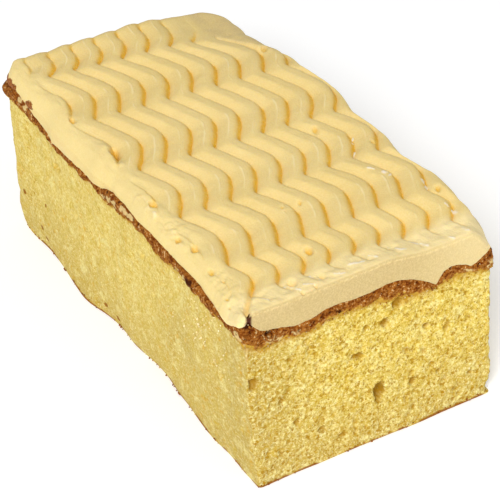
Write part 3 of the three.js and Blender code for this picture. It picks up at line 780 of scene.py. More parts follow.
def icing_right(v):
    edge = WIDTH - mix(ICING_SETBACK["front"], ICING_SETBACK["back"], ease(25, 60, v))
    edge = edge + DRAGGED_SHARE * comb_swing(v + ROW_SKEW * WIDTH)[0]
    edge = edge - WIPED_IN * bell(v - 146, 8)
    edge = edge - BACK_NARROWING * ease(110, 184, v)
    edge = edge - corner_cut(LENGTH - v, ICING_CORNERS["back_right"])
    return edge - corner_cut(v - ICING_FRONT, ICING_CORNERS["front_right"])


def shoulder_drop(distance, shoulder):
    wide, drop = shoulder
    share = clamp(1 - distance / wide)
    return drop * (1 - np.sqrt(1 - share * share))


def wiped_corner(u, v):
    """The back right corner, where a hand wiped the comb marks flat, from 0 to 1."""
    return ease(-3, 1, u - 81 + 0.55 * np.minimum(v - 163, 0)) * ease(138, 144, v)


def comb_reach(u, v):
    """How fully the comb marked the icing here, from 0 to 1."""
    left, right = u - icing_left(v), icing_right(v) - u
    front, back = v - ICING_FRONT, ICING_BACK - v
    smeared = np.maximum(ease(58, 80, u) * ease(158, 174, v), wiped_corner(u, v))
    reach = ease(3.5, 10, left) * ease(-1, 3, right) * ease(1, 14, front)
    return reach * mix(0.25, 1, ease(0, 9, back)) * (1 - smeared)


def icing_level(u, v):
    """Height of the icing before it was combed."""
    left, right = u - icing_left(v), icing_right(v) - u
    front, back = v - ICING_FRONT, ICING_BACK - v
    slumped = ease(54, 90, u) * ease(130, 182, v)
    puffed = 1 - LOBE_STANDS * bell(v - 3, 6)
    chamfer_width, chamfer_drop = FRONT_RIGHT_CHAMFER
    drops = [
        shoulder_drop(left, SHOULDERS["left"]) * puffed,
        shoulder_drop(right, SHOULDERS["right"]),
        shoulder_drop(back, SHOULDERS["back"]),
        shoulder_drop(front, SHOULDERS["front"]),
        chamfer_drop * clamp(1 - right / chamfer_width) ** 1.6 * ease(20, 2, v),
    ]
    drop = sum(one ** 4 for one in drops) ** 0.25 * (1 - SLUMP_SOFTENING * slumped)
    tilt = FRONT_RIGHT_RISE * (u / WIDTH - 0.4) * ease(90, 10, v) * ease(-8, 24, u)
    tilt = tilt + BACK_LEFT_RISE * ease(60, 0, u) * ease(120, 180, v)
    tilt = tilt - FRONT_RIGHT_DROOP * ease(56, 76, u) * ease(32, 4, v)
    return SPONGE_HEIGHT + ICING_THICKNESS - SLUMP_DROP * slumped + tilt - drop


# %% [markdown]
# ## The icing's grid
#
# A straight grid would cut across the comb's marks and give them stepped edges. Here each
# tooth's mark has its own nineteen columns, closest together at its steep wall, and they
# swing with it. Near the bar's edges the columns are squeezed together, so that none of
# them leaves the icing.

# %% The icing's grid
ROW_STEP = 0.56
SQUEEZE = {"left": 8, "right": 4}       # the columns slow down over this distance
SHIVER = 0.24                   # how far a hand's shake moves the comb


def squeeze(u, left, right):
    """Keeps the columns inside the edges by slowing them down near an edge."""
    near_left = left + SQUEEZE["left"] * np.exp((u - left) / SQUEEZE["left"] - 1)
    near_right = right - SQUEEZE["right"] * np.exp((right - u) / SQUEEZE["right"] - 1)
    u = np.where(u < left + SQUEEZE["left"], near_left, u)
    return np.where(u > right - SQUEEZE["right"], near_right, u)


def icing_grid():
    """Rows and columns of the icing's top: u, v, tooth counted in pitches, and row."""
    front = ICING_FRONT + np.array([0, 0.12, 0.3, 0.55, 0.85, 1.2, 1.6])
    back = ICING_BACK - np.array([3.0, 2.5, 2.1, 1.7, 1.3, 0.9, 0.55, 0.25, 0.08, 0])
    count = int((back[0] - front[-1]) / ROW_STEP)
    middle = np.linspace(front[-1], back[0], count)[1:-1]
    row = np.concatenate([front, middle, back])[:, None]
    teeth = [groove + share for groove in range(-1, GROOVES + 1) for share in COLUMN_SHARES]
    tooth = np.array(teeth)[None, :]
    lag = ROW_SKEW * ease(SKEW_START, SKEW_FULL, row) * ease(ICING_BACK, ICING_BACK - 18, row)
    pitch = COMB_PITCH + PITCH_GAIN * ease(110, 30, row)
    left, right = icing_left(row), icing_right(row - lag * WIDTH)
    on_comb = np.stack([tooth * pitch, row + 0 * tooth, 0 * tooth * row], axis=-1)
    shiver = SHIVER * cloud(on_comb, 3.2, 99)
    swing = comb_swing(row, tooth - np.floor(tooth))[0]
    u = squeeze(FIRST_GROOVE + tooth * pitch + swing + shiver, left, right)
    u = np.concatenate([left, u, right], axis=1)
    tooth = np.concatenate([np.array([[-1.0]]), tooth, np.array([[GROOVES + 1.0]])], axis=1)
    v = row - lag * u
    return u, v, tooth + 0 * row, row + 0 * tooth


# %% [markdown]
# ## The icing's relief
#
# Buttercream keeps every stroke. Between the comb's marks it shows fine drag lines, on
# the left margin smears and small torn pits, and at the front, where the comb lifted
# off, thin torn ridges that catch the light. All of these are relief in the mesh. A
# few numbers are kept on each point for the finish, such as how deep in a groove it
# lies, and how torn it is.

# %% The comb's marks
def comb_relief(u, v, tooth, row, flat):
    """The comb's change of height, and its numbers for the finish."""
    share = tooth - np.floor(tooth)
    front = v - ICING_FRONT
    stroke = np.stack([tooth * COMB_PITCH, row * 0.12, 0 * u], axis=-1)
    reach = comb_reach(u, v) * (1 + 0.10 * cloud(flat, 16, 101))
    swing, to_right = comb_swing(row, share)
    mark = mix(np.interp(share, MARK_TO_LEFT[:, 0], MARK_TO_LEFT[:, 1]),
               np.interp(share, MARK_TO_RIGHT[:, 0], MARK_TO_RIGHT[:, 1]), to_right)
    # A raised crest line. Its number also paints a highlight on it.
    crest_highlight = bell(share - 0.5, 0.035) * clamp(reach) * ease(0.1, 0.5, to_right)
    crest_highlight = crest_highlight * ease(0.5, 6, swing) * clamp(0.7 + 1.0 * cloud(flat, 6, 107))
    change = 0.2 * crest_highlight - COMB_DEPTH * reach * (1 - mark)
    change = change + 0.05 * cloud(stroke, 0.5, 103, 2) * clamp(reach)

    # The groove and crease numbers are painted shade: orange on the steep walls and in the creases.
    wall = ease(0.81, 0.92, share) + ease(0.05, 0.0, share)
    groove = clamp(reach) * ease(2, 15, front) * wall * mix(0.2, 1.0, ease(0.3, 0.8, to_right))
    crease = bell(np.minimum(share, 1 - share), 0.05) * clamp(2 * reach)
    crease = crease * mix(0.35, 0.95, ease(32, 18, v))
    return change, {
        "groove": np.maximum(groove, crease),
        "shade": clamp(reach) * ease(0.6, 0.9, share) * to_right,
        # The crest number paints a highlight on the crests and lightens the front strip of the top.
        "crest_highlight": crest_highlight + mix(0.6, 0.85, ease(60, 98, u)) * ease(16, 8, front),
        "stroke_u": stroke[..., 0],
        "stroke_v": row,
    }


# %% Smears
def smears(u, v, flat):
    """Unevenness of the spread icing, strongest on its left margin and at its front."""
    left, front = u - icing_left(v), v - ICING_FRONT
    calm = 1 - bell(u - 3, 2.5) * bell(v - 2, 3)
    margin = ease(11, 6, left) * ease(0, 2, left) * calm
    ragged = (bell(v - 59, 9) + bell(v - 17, 15)) * ease(10, 7, left) * calm
    start = ease(14, 6, front) * ease(0.5, 2.5, front)
    lengthwise = cloud(np.stack([u, v * 0.35, 0 * u], axis=-1), 3.0, 109, 3)
    crosswise = cloud(np.stack([u, v * 1.4, 0 * u], axis=-1), 2.6, 111, 3)
    change = 0.22 * cloud(flat, 12, 105, 2) + 0.1 * cloud(flat, 3.5, 106, 3)
    change = change + 0.45 * lengthwise * margin + 0.35 * crosswise * start
    return change + 0.36 * cloud(flat, 1.8, 110, 3) * clamp(ragged)


# %% Torn streaks
TORN_STREAKS = [                # from (tooth, row) to (tooth, row), half width
    ((1.0, 8.5), (1.05, 3.5), 0.35), ((2.0, 11), (2.1, 4.0), 0.4),
    ((2.93, 11.4), (3.15, 4.1), 0.5), ((4.23, 7.7), (4.91, 6.4), 0.5),
    ((5.16, 9.4), (5.38, 5.6), 0.45), ((6.03, 10.1), (6.36, 4.8), 0.55),
    ((6.93, 10.5), (7.21, 3.5), 0.6), ((8.0, 5.0), (8.1, 2.6), 0.4),
    ((8.8, 7.0), (8.8, 3.2), 0.5), ((8.69, 21.4), (9.22, 14.0), 0.45),
    ((8.92, 31), (8.89, 38.5), 0.6), ((7.7, 49.5), (7.82, 44.8), 0.8),
    ((7.5, 54), (7.58, 51), 0.4), ((7.97, 70), (7.97, 62), 0.4),
    ((8.0, 79), (8.0, 73), 0.35), ((3.5, 6.0), (3.9, 4.2), 0.35),
    ((2.4, 7.0), (2.7, 4.5), 0.3),
]


def distance_to_path(u, v, path):
    """Distance to a path of (u, v) points, and how far along it that is, from 0 to 1."""
    nearest, along = np.full(u.shape, 1e9), np.zeros(u.shape)
    legs = len(path) - 1
    for leg in range(legs):
        start, end = np.array(path[leg]), np.array(path[leg + 1])
        run = end - start
        share = clamp(((u - start[0]) * run[0] + (v - start[1]) * run[1]) / (run @ run))
        away = np.hypot(u - start[0] - share * run[0], v - start[1] - share * run[1])
        closer = away < nearest
        nearest = np.where(closer, away, nearest)
        along = np.where(closer, (leg + share) / legs, along)
    return nearest, along


def fade_ends(along):
    return ease(0, 0.15, along) * ease(1, 0.85, along)


def torn_streaks(tooth, row, flat):
    """How torn the icing is where thin ridges of it broke off the comb."""
    torn = np.zeros(tooth.shape)
    breaks = clamp(0.8 + 1.0 * cloud(flat, 1.3, 113, 3))
    curl = 0.8 * cloud(flat, 2.4, 115)
    for start, end, width in TORN_STREAKS:
        path = [(start[0] * COMB_PITCH, start[1]), (end[0] * COMB_PITCH, end[1])]
        away, along = distance_to_path(tooth * COMB_PITCH + curl, row, path)
        torn = torn + bell(away, 1.5 * width) * breaks * fade_ends(along)
    return torn


# %% Pits, ridges and the fold
ICING_PITS = [                  # u, v, radius, depth
    (9.7, 112.4, 1.6, 1.3), (3.9, 53.0, 1.2, 1.0), (4.6, 30.5, 1.2, 0.9),
    (38.7, 22.2, 1.5, 1.6), (78.4, 84.0, 1.5, 1.0), (50.3, 47.8, 0.9, 0.8),
    (24.5, 10.0, 1.5, 1.4), (34.7, 7.7, 1.1, 0.9), (30.1, 3.8, 0.9, 0.8),
    (24.5, 3.2, 0.7, 0.6), (5.6, 23.6, 0.8, 0.8), (43.1, 48.1, 0.8, 0.6),
    (5.2, 137.5, 1.2, 1.3), (9.0, 109.7, 1.7, 1.8), (5.9, 75.0, 1.4, 1.6),
    (6.2, 44.8, 1.4, 1.6), (92, 66, 0.8, 0.8), (14, 132, 0.7, 0.5),
    (1.0, 11.5, 0.7, 0.5), (2.2, 15, 0.6, 0.5), (91.5, 143.5, 1.3, 0.8), (96.3, 29.5, 1.0, 1.0),
]
PIT_LENGTH = 1.7                # the pits are longer than they are wide
FOLD = [(13.3, 19.9), (8.8, 11.5), (4.2, 6.1), (2.8, 1.4)]     # under the front left lobe
RIDGES = [
    [(6.5, 117.9), (7.3, 114.2), (6.2, 106.6), (5.2, 101.4)], [(9.0, 107.9), (7.3, 100.8)],
    [(1.8, 83.8), (5.1, 81.2), (3.9, 71.3), (4.0, 65.0)],
    [(4.2, 63.5), (5.0, 60.9), (3.3, 54.5), (3.7, 44.7)],
    [(3.3, 76.0), (1.2, 72.6)], [(4.3, 71.0), (2.0, 67.9)], [(44.9, 51.2), (42.8, 46.2)],
]


def pitted(u, v, flat):
    """The pits' change of height, and how deep in a pit each point lies, from 0 to 1, which the
    finish paints as shade.
    """
    change, pocket_shade = np.zeros(u.shape), np.zeros(u.shape)
    ragged = 0.35 * cloud(flat, 2.4, 117, 1)
    for pit_u, pit_v, radius, depth in ICING_PITS:
        away = np.hypot(u - pit_u, (v - pit_v) / PIT_LENGTH) / radius + ragged
        hollow = clamp(1.1 - away * away)
        pocket_shade = np.maximum(pocket_shade, hollow)
        change = change - 1.3 * depth * hollow
    return change, pocket_shade


def ridged(u, v, flat):
    """Height of the small ridges that the spreader pushed up, and where they are."""
    change, lips = np.zeros(u.shape), np.zeros(u.shape)
    sway = 0.4 * cloud(flat, 3.0, 118)
    height = 0.55 * clamp(0.8 + 0.6 * cloud(flat, 2.5, 119))
    for path in RIDGES:
        away, along = distance_to_path(u, v, path)
        lip = bell(away + sway, 0.9) * fade_ends(along)
        change = change + height * lip
        lips = lips + lip
    return change, lips


def folded(u, v):
    """The fold's change of height, where it is, and where painted shadow darkens its open end."""
    away, along = distance_to_path(u, v, FOLD)
    fold = bell(away, 1.0) * ease(0, 0.35, along)
    depth = mix(1.0, 3.0, along) * mix(1, 0.1, ease(0.75, 1.0, along))
    return -depth * fold, fold, bell(away, 1.1) * ease(0.8, 0.95, along)


# %% The icing's top
def browned_patch(u, v, z):
    """Where the crust shows through at the back left, above its own band."""
    reach = ease(166, 179, v) * ease(mix(69.5, 74.5, ease(150, 176, v)), 68, z)
    lump = bell(v - 163, 4) * bell(z - 69.4, 1.6)
    return (reach + lump) * ease(12, 5, u)


def cut_and_shade(u):
    """How strongly the front face counts as cut and is painted darker as shade, weaker towards the
    right end.
    """
    return ease(2.6, 3.8, u) * mix(1, 0.5, ease(60, 98, u))


def icing_top():
    """Places of the icing's top, and its numbers for the finish."""
    u, v, tooth, row = icing_grid()
    flat = np.stack([u, v, 0 * u], axis=-1)
    combing, marks = comb_relief(u, v, tooth, row, flat)
    torn = torn_streaks(tooth, row, flat)
    pitting, pocket_shade = pitted(u, v, flat)
    ridging, lips = ridged(u, v, flat)
    folding, fold, gap = folded(u, v)
    height = icing_level(u, v) + combing + smears(u, v, flat) + 0.4 * torn
    height = height + pitting + ridging + folding
    marks["torn"] = torn + 0.3 * lips
    marks["pocket_shade"] = np.maximum(pocket_shade, fold)
    marks["gap"] = gap
    # The wiped corner is painted darker tan as shade.
    marks["slumped"] = wiped_corner(u, v) * clamp(0.85 + 0.5 * cloud(flat, 3, 108))
    marks["smooth"] = ease(11, 6, u - icing_left(v))
    # Painted shade: a darker strip along the top's front rim, joining the cut face.
    marks["cut_face_shade"] = 0.9 * ease(1.1, 0.2, v - ICING_FRONT) * cut_and_shade(u)
    marks["browned"] = browned_patch(u, v, height)
    return np.stack([u, v, height], axis=-1), marks


# %% [markdown]
# ## The icing's sides
#
# The icing's side hangs from the rim of its top down to the crust, with a slight swell
# and a ragged lower edge, and then turns in under the layer and closes there. It is a
# second grid, wrapped round the rim, and the two are merged where they meet.

# %% The icing's sides
SIDE_ROWS = 13
CLOSING_SHARES = (1.0, 0.5, 0.12, 0.02)        # rings that close the layer from below
RIM_FADE = [0.0, 0.2, 0.6, 1.0]                # most marks end this fast below the rim
MARKS_TO_THE_CRUST = ("stroke_u", "stroke_v", "gap", "crest_highlight")


def rim_of(grid):
    """The rim of a grid, anticlockwise from its front left corner."""
    return np.concatenate([grid[0], grid[1:, -1], grid[-1, -2::-1], grid[-2:0:-1, 0]])


def icing_side(rim):
    """Rings from the middle of the layer's underside up to the rim of its top."""
    u, v = rim[:, 0], rim[:, 1]
    on_front = ease(ICING_FRONT + 1.2, ICING_FRONT + 0.1, v)
    creep = mix(0.5, 0.15, on_front) * cloud(np.stack([u, v, 0 * u], axis=-1), 3.0, 121, 3)
    low = np.stack([u, v, crust_edges(u, v)[1] - 0.1 - creep], axis=-1)
    low[:, 2] = np.minimum(low[:, 2], rim[:, 2] - 0.6)
    middle = np.array([WIDTH / 2, LENGTH / 2, SPONGE_HEIGHT])
    rings = []
    for share in CLOSING_SHARES:
        ring = mix(low, middle, share)
        ring[:, 2] = mix(low[:, 2] - 0.4, SPONGE_HEIGHT - 0.5, min(1, 2 * share))
        rings.append(ring)
    rings.append(low)
    for share in np.linspace(0, 1, SIDE_ROWS + 2)[1:-1]:
        ring = mix(low, rim, share)
        swell = mix(0.35, 0.2, on_front) + 0.9 * bell(u, 2.6) * bell(v - ICING_FRONT, 5)
        swell = swell * (4 * share * (1 - share)) ** 0.7
        ring[:, 0], ring[:, 1] = draw_in(ring[:, 0], ring[:, 1], -swell, -0.5 * swell)
        wave = cloud(ring * np.array([1, 1, 1.6]), 6.0, 123, 3) * math.sin(math.pi * share) ** 0.5
        push = 0.3 * wave * mix(1.0, 0.3, on_front)
        ring[:, 0], ring[:, 1] = draw_in(ring[:, 0], ring[:, 1], push, push)
        rings.append(ring)
    return np.stack(rings + [rim])


def side_marks(side, marks):
    """The top's numbers carried down the side, and those that are the side's own."""
    levels = len(side)
    rim_u, rim_v = side[-1, :, 0], side[-1, :, 1]
    fade = np.concatenate([np.zeros(levels - len(RIM_FADE)), RIM_FADE])[:, None]
    below = {name: rim_of(values)[None, :] * (1 if name in MARKS_TO_THE_CRUST else fade)
             for name, values in marks.items()}
    on_front = ease(ICING_FRONT + 1.2, ICING_FRONT + 0.1, rim_v)
    half_at_rim = np.concatenate([np.ones(levels - 1), [0.5]])[:, None]
    below["cut_face_shade"] = half_at_rim * (on_front * cut_and_shade(rim_u))[None, :]
    below["browned"] = browned_patch(side[..., 0], side[..., 1], side[..., 2])
    return {name: wrap(values + np.zeros((levels, 1))) for name, values in below.items()}


# %% Building the icing
ICING_SHARP = 60                # degrees, so that the cut front keeps its crease


def build_icing():
    top, marks = icing_top()
    side = icing_side(rim_of(top))
    sheets = [add_sheet("icing_top", top, marks),
              add_sheet("icing_side", wrap(side), side_marks(side, marks))]
    return close_skin(sheets, "icing_skin", ICING_SHARP)


icing = build_icing()

# %% [markdown]
# ## Finishes
#
# All finishes are made of nodes only. Their patterns read the place on the bar or the
# numbers that the skins carry, so they stay put when the view moves. Colours are written
# as they look on a screen and turned to linear light by one function. Food is mottled in
# many close tones, so each finish starts from two of them and lays the others over these
# one by one, wherever a pattern or a number is high.

# %% Finish helpers
def screen_colour(code):
    """A colour such as "#E6CC84", as it looks on a screen, in linear light."""
    parts = [int(code[start:start + 2], 16) / 255 for start in (1, 3, 5)]
    linear = [part / 12.92 if part <= 0.04045 else ((part + 0.055) / 1.055) ** 2.4
              for part in parts]
    return (*linear, 1.0)


def add_node(material, kind, inputs=None, **settings):
    """Adds a node, with its settings, and fills or links its inputs."""
    node = material.node_tree.nodes.new(kind)
    for name, value in settings.items():
        setattr(node, name, value)
    for name, value in (inputs or {}).items():
        if isinstance(value, bpy.types.NodeSocket):
            material.node_tree.links.new(value, node.inputs[name])
        else:
            node.inputs[name].default_value = value
    return node


def new_finish(name, settings):
    """A new material with only a Principled shader, set like this, and its output."""
    material = bpy.data.materials.new(name)
    material.use_nodes = True
    material.node_tree.nodes.clear()
    shader = add_node(material, "ShaderNodeBsdfPrincipled", settings)
    add_node(material, "ShaderNodeOutputMaterial", {"Surface": shader.outputs[0]})
    return material, shader


def pattern_scale(millimetres):
    """The scale that makes a pattern's parts this many millimetres across."""
    return 1 / (millimetres * MM)


def lay_over(material, colour, value, low, high, share, tone):
    """Lays a tone over a colour: none where the value is low, and this share where it is high.

    The value is a socket, or the name of the number that the points carry. A colour and a
    tone are a socket or a screen colour."""
    if isinstance(value, str):
        value = add_node(material, "ShaderNodeAttribute", attribute_name=value).outputs["Fac"]
    factor = add_node(material, "ShaderNodeMapRange",
                      {"Value": value, "From Min": low, "From Max": high, "To Max": share})
    under, over = (screen_colour(one) if isinstance(one, str) else one for one in (colour, tone))
    blend = add_node(material, "ShaderNodeMix", {0: factor.outputs[0], 6: under, 7: over},
                     data_type="RGBA")
    return blend.outputs[2]


def finish_surface(material, shader, colour, height, **bump):
    """Links a colour to the shader, and a fine relief to its normal."""
    material.node_tree.links.new(colour, shader.inputs["Base Color"])
    relief = add_node(material, "ShaderNodeBump", {"Height": height, **bump})
    material.node_tree.links.new(relief.outputs[0], shader.inputs["Normal"])
    return relief


def wear(piece, material):
    piece.data.materials.clear()
    piece.data.materials.append(material)
    print(piece.name, "wears", material.name)


# %% [markdown]
# ## Buttercream
#
# Buttercream is butter and fine sugar beaten smooth. It gives the eye a soft satin with
# no mirror in it, and light that goes a millimetre or two into it and comes out warmer,
# so its grooves glow orange while its ridges turn to cream. That orange is also painted
# into the grooves as shade, and that cream onto the crests as a highlight. Its sugar
# grains are a tenth of a millimetre across. They are drawn at 0.6 mm, because finer ones
# wouldn't show. The comb leaves drag lines that follow its swing, about as far apart, so
# those read the comb's own two numbers in place of the place on the bar.

# %% Buttercream's tones
BUTTERCREAM_TONES = [           # number on the points, from, to, greatest share, tone
    ("smooth", 0, 1, 0.6, "#E9D28E"),       # the spread margin on the left
    ("shade", 0, 1, 0.5, "#E8BE55"),        # the side of a mark that faces away
    ("groove", 0, 1, 0.9, "#E2AE00"),       # painted shade: deep orange in the grooves and creases
    ("pocket_shade", 0.25, 1, 0.85, "#DCA808"),   # painted shade: gold in the pits and the fold
    ("crest_highlight", 0.1, 0.8, 0.6, "#F6E3AE"),    # painted highlight: cream lines along the crests, and a paler front strip
    ("slumped", 0, 1, 0.8, "#D2B87C"),      # painted shade: darker tan on the corner that was wiped flat
    ("torn", 0.25, 0.75, 1, "#F1E5CC"),     # torn streaks, palest of all
    ("cut_face_shade", 0, 1, 1, "#C3AA72"),       # the knife's cut through the layer, darker tan as painted shade
]


def buttercream_colour(material, place, grain, browned):
    """The layer's colour, with the crust's tones where that shows through."""
    cloudy = add_node(material, "ShaderNodeTexNoise", {"Vector": place, "Scale": pattern_scale(22)})
    colour = lay_over(material, "#E3C880", cloudy.outputs["Fac"], 0.35, 0.65, 1, "#E7CD88")
    for mark, low, high, share, tone in BUTTERCREAM_TONES:
        colour = lay_over(material, colour, mark, low, high, share, tone)
    colour = lay_over(material, colour, grain, 0.4, 0.7, 0.35, "#F3DFA6")
    edge = add_node(material, "ShaderNodeTexNoise",
                    {"Vector": place, "Scale": pattern_scale(3.6), "Detail": 3.0, "Roughness": 0.6})
    ragged = add_node(material, "ShaderNodeMath", {0: browned, 1: edge.outputs["Fac"]},
                      operation="ADD").outputs[0]
    crusty = lay_over(material, "#A86420", grain, 0.4, 0.6, 1, "#743C04")
    colour = lay_over(material, colour, ragged, 1.0, 1.08, 1, crusty)
    # Painted shadow: near-black brown in the hole at the fold's open end.
    return lay_over(material, colour, "gap", 0.2, 0.7, 1, "#4A1F06")


# %% Buttercream
DRAG_LINES = (1.6, 0.12, 1)     # lines to a millimetre across the comb's path and along it


def buttercream():
    material, shader = new_finish("buttercream", {
        "Roughness": 0.65, "IOR": 1.45, "Specular IOR Level": 0.3, "Subsurface Weight": 0.2,
        "Subsurface Radius": (1.0, 0.7, 0.25), "Subsurface Scale": 2.0 * MM})
    place = add_node(material, "ShaderNodeTexCoord").outputs["Object"]
    grain = add_node(material, "ShaderNodeTexNoise",
                     {"Vector": place, "Scale": pattern_scale(0.6), "Detail": 3.0,
                      "Roughness": 0.6}).outputs["Fac"]
    stroke_u, stroke_v, cut_face_shade, browned = (
        add_node(material, "ShaderNodeAttribute", attribute_name=name).outputs["Fac"]
        for name in ("stroke_u", "stroke_v", "cut_face_shade", "browned"))
    colour = buttercream_colour(material, place, grain, browned)
    drag = add_node(material, "ShaderNodeCombineXYZ", {0: stroke_u, 1: stroke_v})
    drawn_out = add_node(material, "ShaderNodeVectorMath", {0: drag.outputs[0], 1: DRAG_LINES},
                         operation="MULTIPLY")
    lines = add_node(material, "ShaderNodeTexNoise",
                     {"Vector": drawn_out.outputs[0], "Scale": 1.0, "Detail": 3.0})
    combed = add_node(material, "ShaderNodeMapRange",
                      {"Value": cut_face_shade, "From Max": 0.5, "To Min": 0.5, "To Max": 0})
    height = add_node(material, "ShaderNodeMath",
                      {0: lines.outputs["Fac"], 1: combed.outputs[0], 2: grain},
                      operation="MULTIPLY_ADD").outputs[0]
    finish_surface(material, shader, colour, height, Strength=0.5, Distance=0.4 * MM)
    return material


wear(icing, buttercream())

# %% [markdown]
# ## Sponge crumb
#
# Baked egg foam gives the eye no shine at all and a glow from inside its thin walls. The
# knife left the front face open and strongly mottled, with pores of about one and two
# millimetres that are painted golden inside as shade, and it rubbed the long sides to a
# finer grain with soft golden clouds.
# So most patterns are weakened by the number that says how open the grain is. The lower
# crumb is painted duller towards the foot, as painted shade where less light gets there,
# and the foot is browned where it touched the tin.

# %% Pores and the grain
def show_in_grain(material, value, low, high, open_grain, on_sides, on_front):
    """Stretches a value, and weakens it to these shares on the sides and on the front."""
    seen = add_node(material, "ShaderNodeMapRange",
                    {"Value": value, "From Min": low, "From Max": high})
    share = add_node(material, "ShaderNodeMapRange",
                     {"Value": open_grain, "From Min": SIDE_GRAIN, "From Max": 1,
                      "To Min": on_sides, "To Max": on_front})
    return add_node(material, "ShaderNodeMath", {0: seen.outputs[0], 1: share.outputs[0]},
                    operation="MULTIPLY").outputs[0]


def open_pores(material, place, size):
    """Open pores of uneven shape, about this many millimetres apart."""
    sway = add_node(material, "ShaderNodeTexNoise",
                    {"Vector": place, "Scale": 1.3 * pattern_scale(size), "Detail": 3.0})
    moved = add_node(material, "ShaderNodeVectorMath",
                     {0: sway.outputs["Color"], 1: (1.4 * size * MM,) * 3, 2: place},
                     operation="MULTIPLY_ADD")
    cells = add_node(material, "ShaderNodeTexVoronoi",
                     {"Vector": moved.outputs[0], "Scale": pattern_scale(size)})
    chosen = add_node(material, "ShaderNodeSeparateColor", {0: cells.outputs["Color"]})
    hole = add_node(material, "ShaderNodeMapRange",
                    {"Value": cells.outputs["Distance"], "From Min": 0.42, "From Max": 0.18})
    some = add_node(material, "ShaderNodeMapRange",
                    {"Value": chosen.outputs[0], "From Min": 0.5, "From Max": 0.75})
    return add_node(material, "ShaderNodeMath", {0: hole.outputs[0], 1: some.outputs[0]},
                    operation="MULTIPLY").outputs[0]


# %% Sponge crumb's tones
PORE_SIZES = (2.1, 1.0)
GRAIN_PATTERNS = {              # millimetres across, detail, roughness
    "mottle": (5.0, 3.0, 0.55),
    "clumps": (1.25, 4.0, 0.7),
    "specks": (0.62, 2.0, 0.6),
    "golden": (2.6, 3.0, 0.6),
}
GRAIN_TONES = [                 # pattern, from, to, on the sides, on the front, share, tone
    ("clumps", 0.5, 0.68, 0.4, 1, 0.8, "#F4EAA4"),
    ("clumps", 0.5, 0.36, 0.4, 1, 0.7, "#BC9420"),
    ("specks", 0.44, 0.3, 0.8, 1, 0.6, "#B08A20"),
    ("specks", 0.56, 0.72, 0.8, 1, 0.6, "#F6EEBC"),
    ("golden", 0.58, 0.68, 1, 0.2, 0.6, "#CC9C2C"),
]
BROWNED_TONES = [               # number on the points, from, to, share, tone
    # browned crumb under the crust, partly painted shade below its overhang
    ("near_crust", 0.2, 1, 0.75, "#B8882A"),
    ("arris", 0.2, 1, 0.6, "#E2CCA2"),
    ("foot", 0.25, 0.6, 0.9, "#8A5217"),
]


def crumb_colour(material, place, open_grain, patterns, pores):
    broad = add_node(material, "ShaderNodeTexNoise", {"Vector": place, "Scale": pattern_scale(14)})
    low = add_node(material, "ShaderNodeSeparateXYZ", {0: place}).outputs["Z"]
    colour = lay_over(material, "#D7BC52", broad.outputs["Fac"], 0.35, 0.65, 1, "#DDC460")
    colour = lay_over(material, colour, open_grain, 1.0, SIDE_GRAIN, 0.65, "#D7C072")
    # Painted shade: darker towards the foot.
    colour = lay_over(material, colour, low, 34 * MM, 0, 0.85, "#B8A056")
    # Painted shade near the front left corner and at one place on the left side.
    colour = lay_over(material, colour, "painted_shade", 0, 1, 0.9, "#B8A058")
    colour = lay_over(material, colour, patterns["mottle"], 0.52, 0.66, 0.6, "#DFD28A")
    colour = lay_over(material, colour, patterns["mottle"], 0.46, 0.34, 0.6, "#C2A846")
    for name, start, end, on_sides, on_front, share, tone in GRAIN_TONES:
        seen = show_in_grain(material, patterns[name], start, end, open_grain, on_sides, on_front)
        colour = lay_over(material, colour, seen, 0, 1, share, tone)
    # Painted shade: dark gold inside the open pores.
    for hole in pores:
        seen = show_in_grain(material, hole, 0, 1, open_grain, 0.2, 1)
        colour = lay_over(material, colour, seen, 0, 0.6, 0.8, "#A67C0C")
    # Painted shade: dark gold in the mesh's hollows.
    hollow = add_node(material, "ShaderNodeAttribute", attribute_name="hollow").outputs["Fac"]
    seen = show_in_grain(material, hollow, 0, 1, open_grain, SIDE_GRAIN, 1)
    colour = lay_over(material, colour, seen, 0.25, 1.0, 0.85, "#A67A0C")
    for mark, start, end, share, tone in BROWNED_TONES:
        colour = lay_over(material, colour, mark, start, end, share, tone)
    return colour


# %% Sponge crumb
def sponge_crumb():
    material, shader = new_finish("sponge crumb", {
        "Roughness": 0.9, "IOR": 1.4, "Specular IOR Level": 0.12, "Subsurface Weight": 0.3,
        "Subsurface Radius": (1.0, 0.8, 0.3), "Subsurface Scale": 1.0 * MM})
    place = add_node(material, "ShaderNodeTexCoord").outputs["Object"]
    place = add_node(material, "ShaderNodeVectorMath", {0: place, 1: tuple(ALONG_THE_BAR)},
                     operation="MULTIPLY").outputs[0]
    open_grain = add_node(material, "ShaderNodeAttribute",
                          attribute_name="open_grain").outputs["Fac"]
    patterns = {
        name: add_node(material, "ShaderNodeTexNoise",
                       {"Vector": place, "Scale": pattern_scale(size), "Detail": detail,
                        "Roughness": roughness}).outputs["Fac"]
        for name, (size, detail, roughness) in GRAIN_PATTERNS.items()}
    pores = [open_pores(material, place, size) for size in PORE_SIZES]
    colour = crumb_colour(material, place, open_grain, patterns, pores)
    depth = pores[0]
    for other, operation in ((pores[1], "ADD"), (patterns["clumps"], "SUBTRACT"),
                             (open_grain, "MULTIPLY")):
        depth = add_node(material, "ShaderNodeMath", {0: depth, 1: other},
                         operation=operation).outputs[0]
    relief = finish_surface(material, shader, colour, depth, Strength=0.4, Distance=0.5 * MM)
    relief.invert = True
    return material


wear(crumb, sponge_crumb())

# %% [markdown]
# ## Browned crust
#
# Sugar and egg that browned in the oven give the eye a dry, matt red-brown, broken by
# pits, lighter crumbs and a dusting of pale sugar. Its pits and notches are painted dark
# as shade, and a burnt lump and tip are dark of their own. The grains are one to two
# millimetres, and a strong fine relief makes each of them catch the light. Where icing
# was smeared over it, its cream colour breaks up with the same grains.

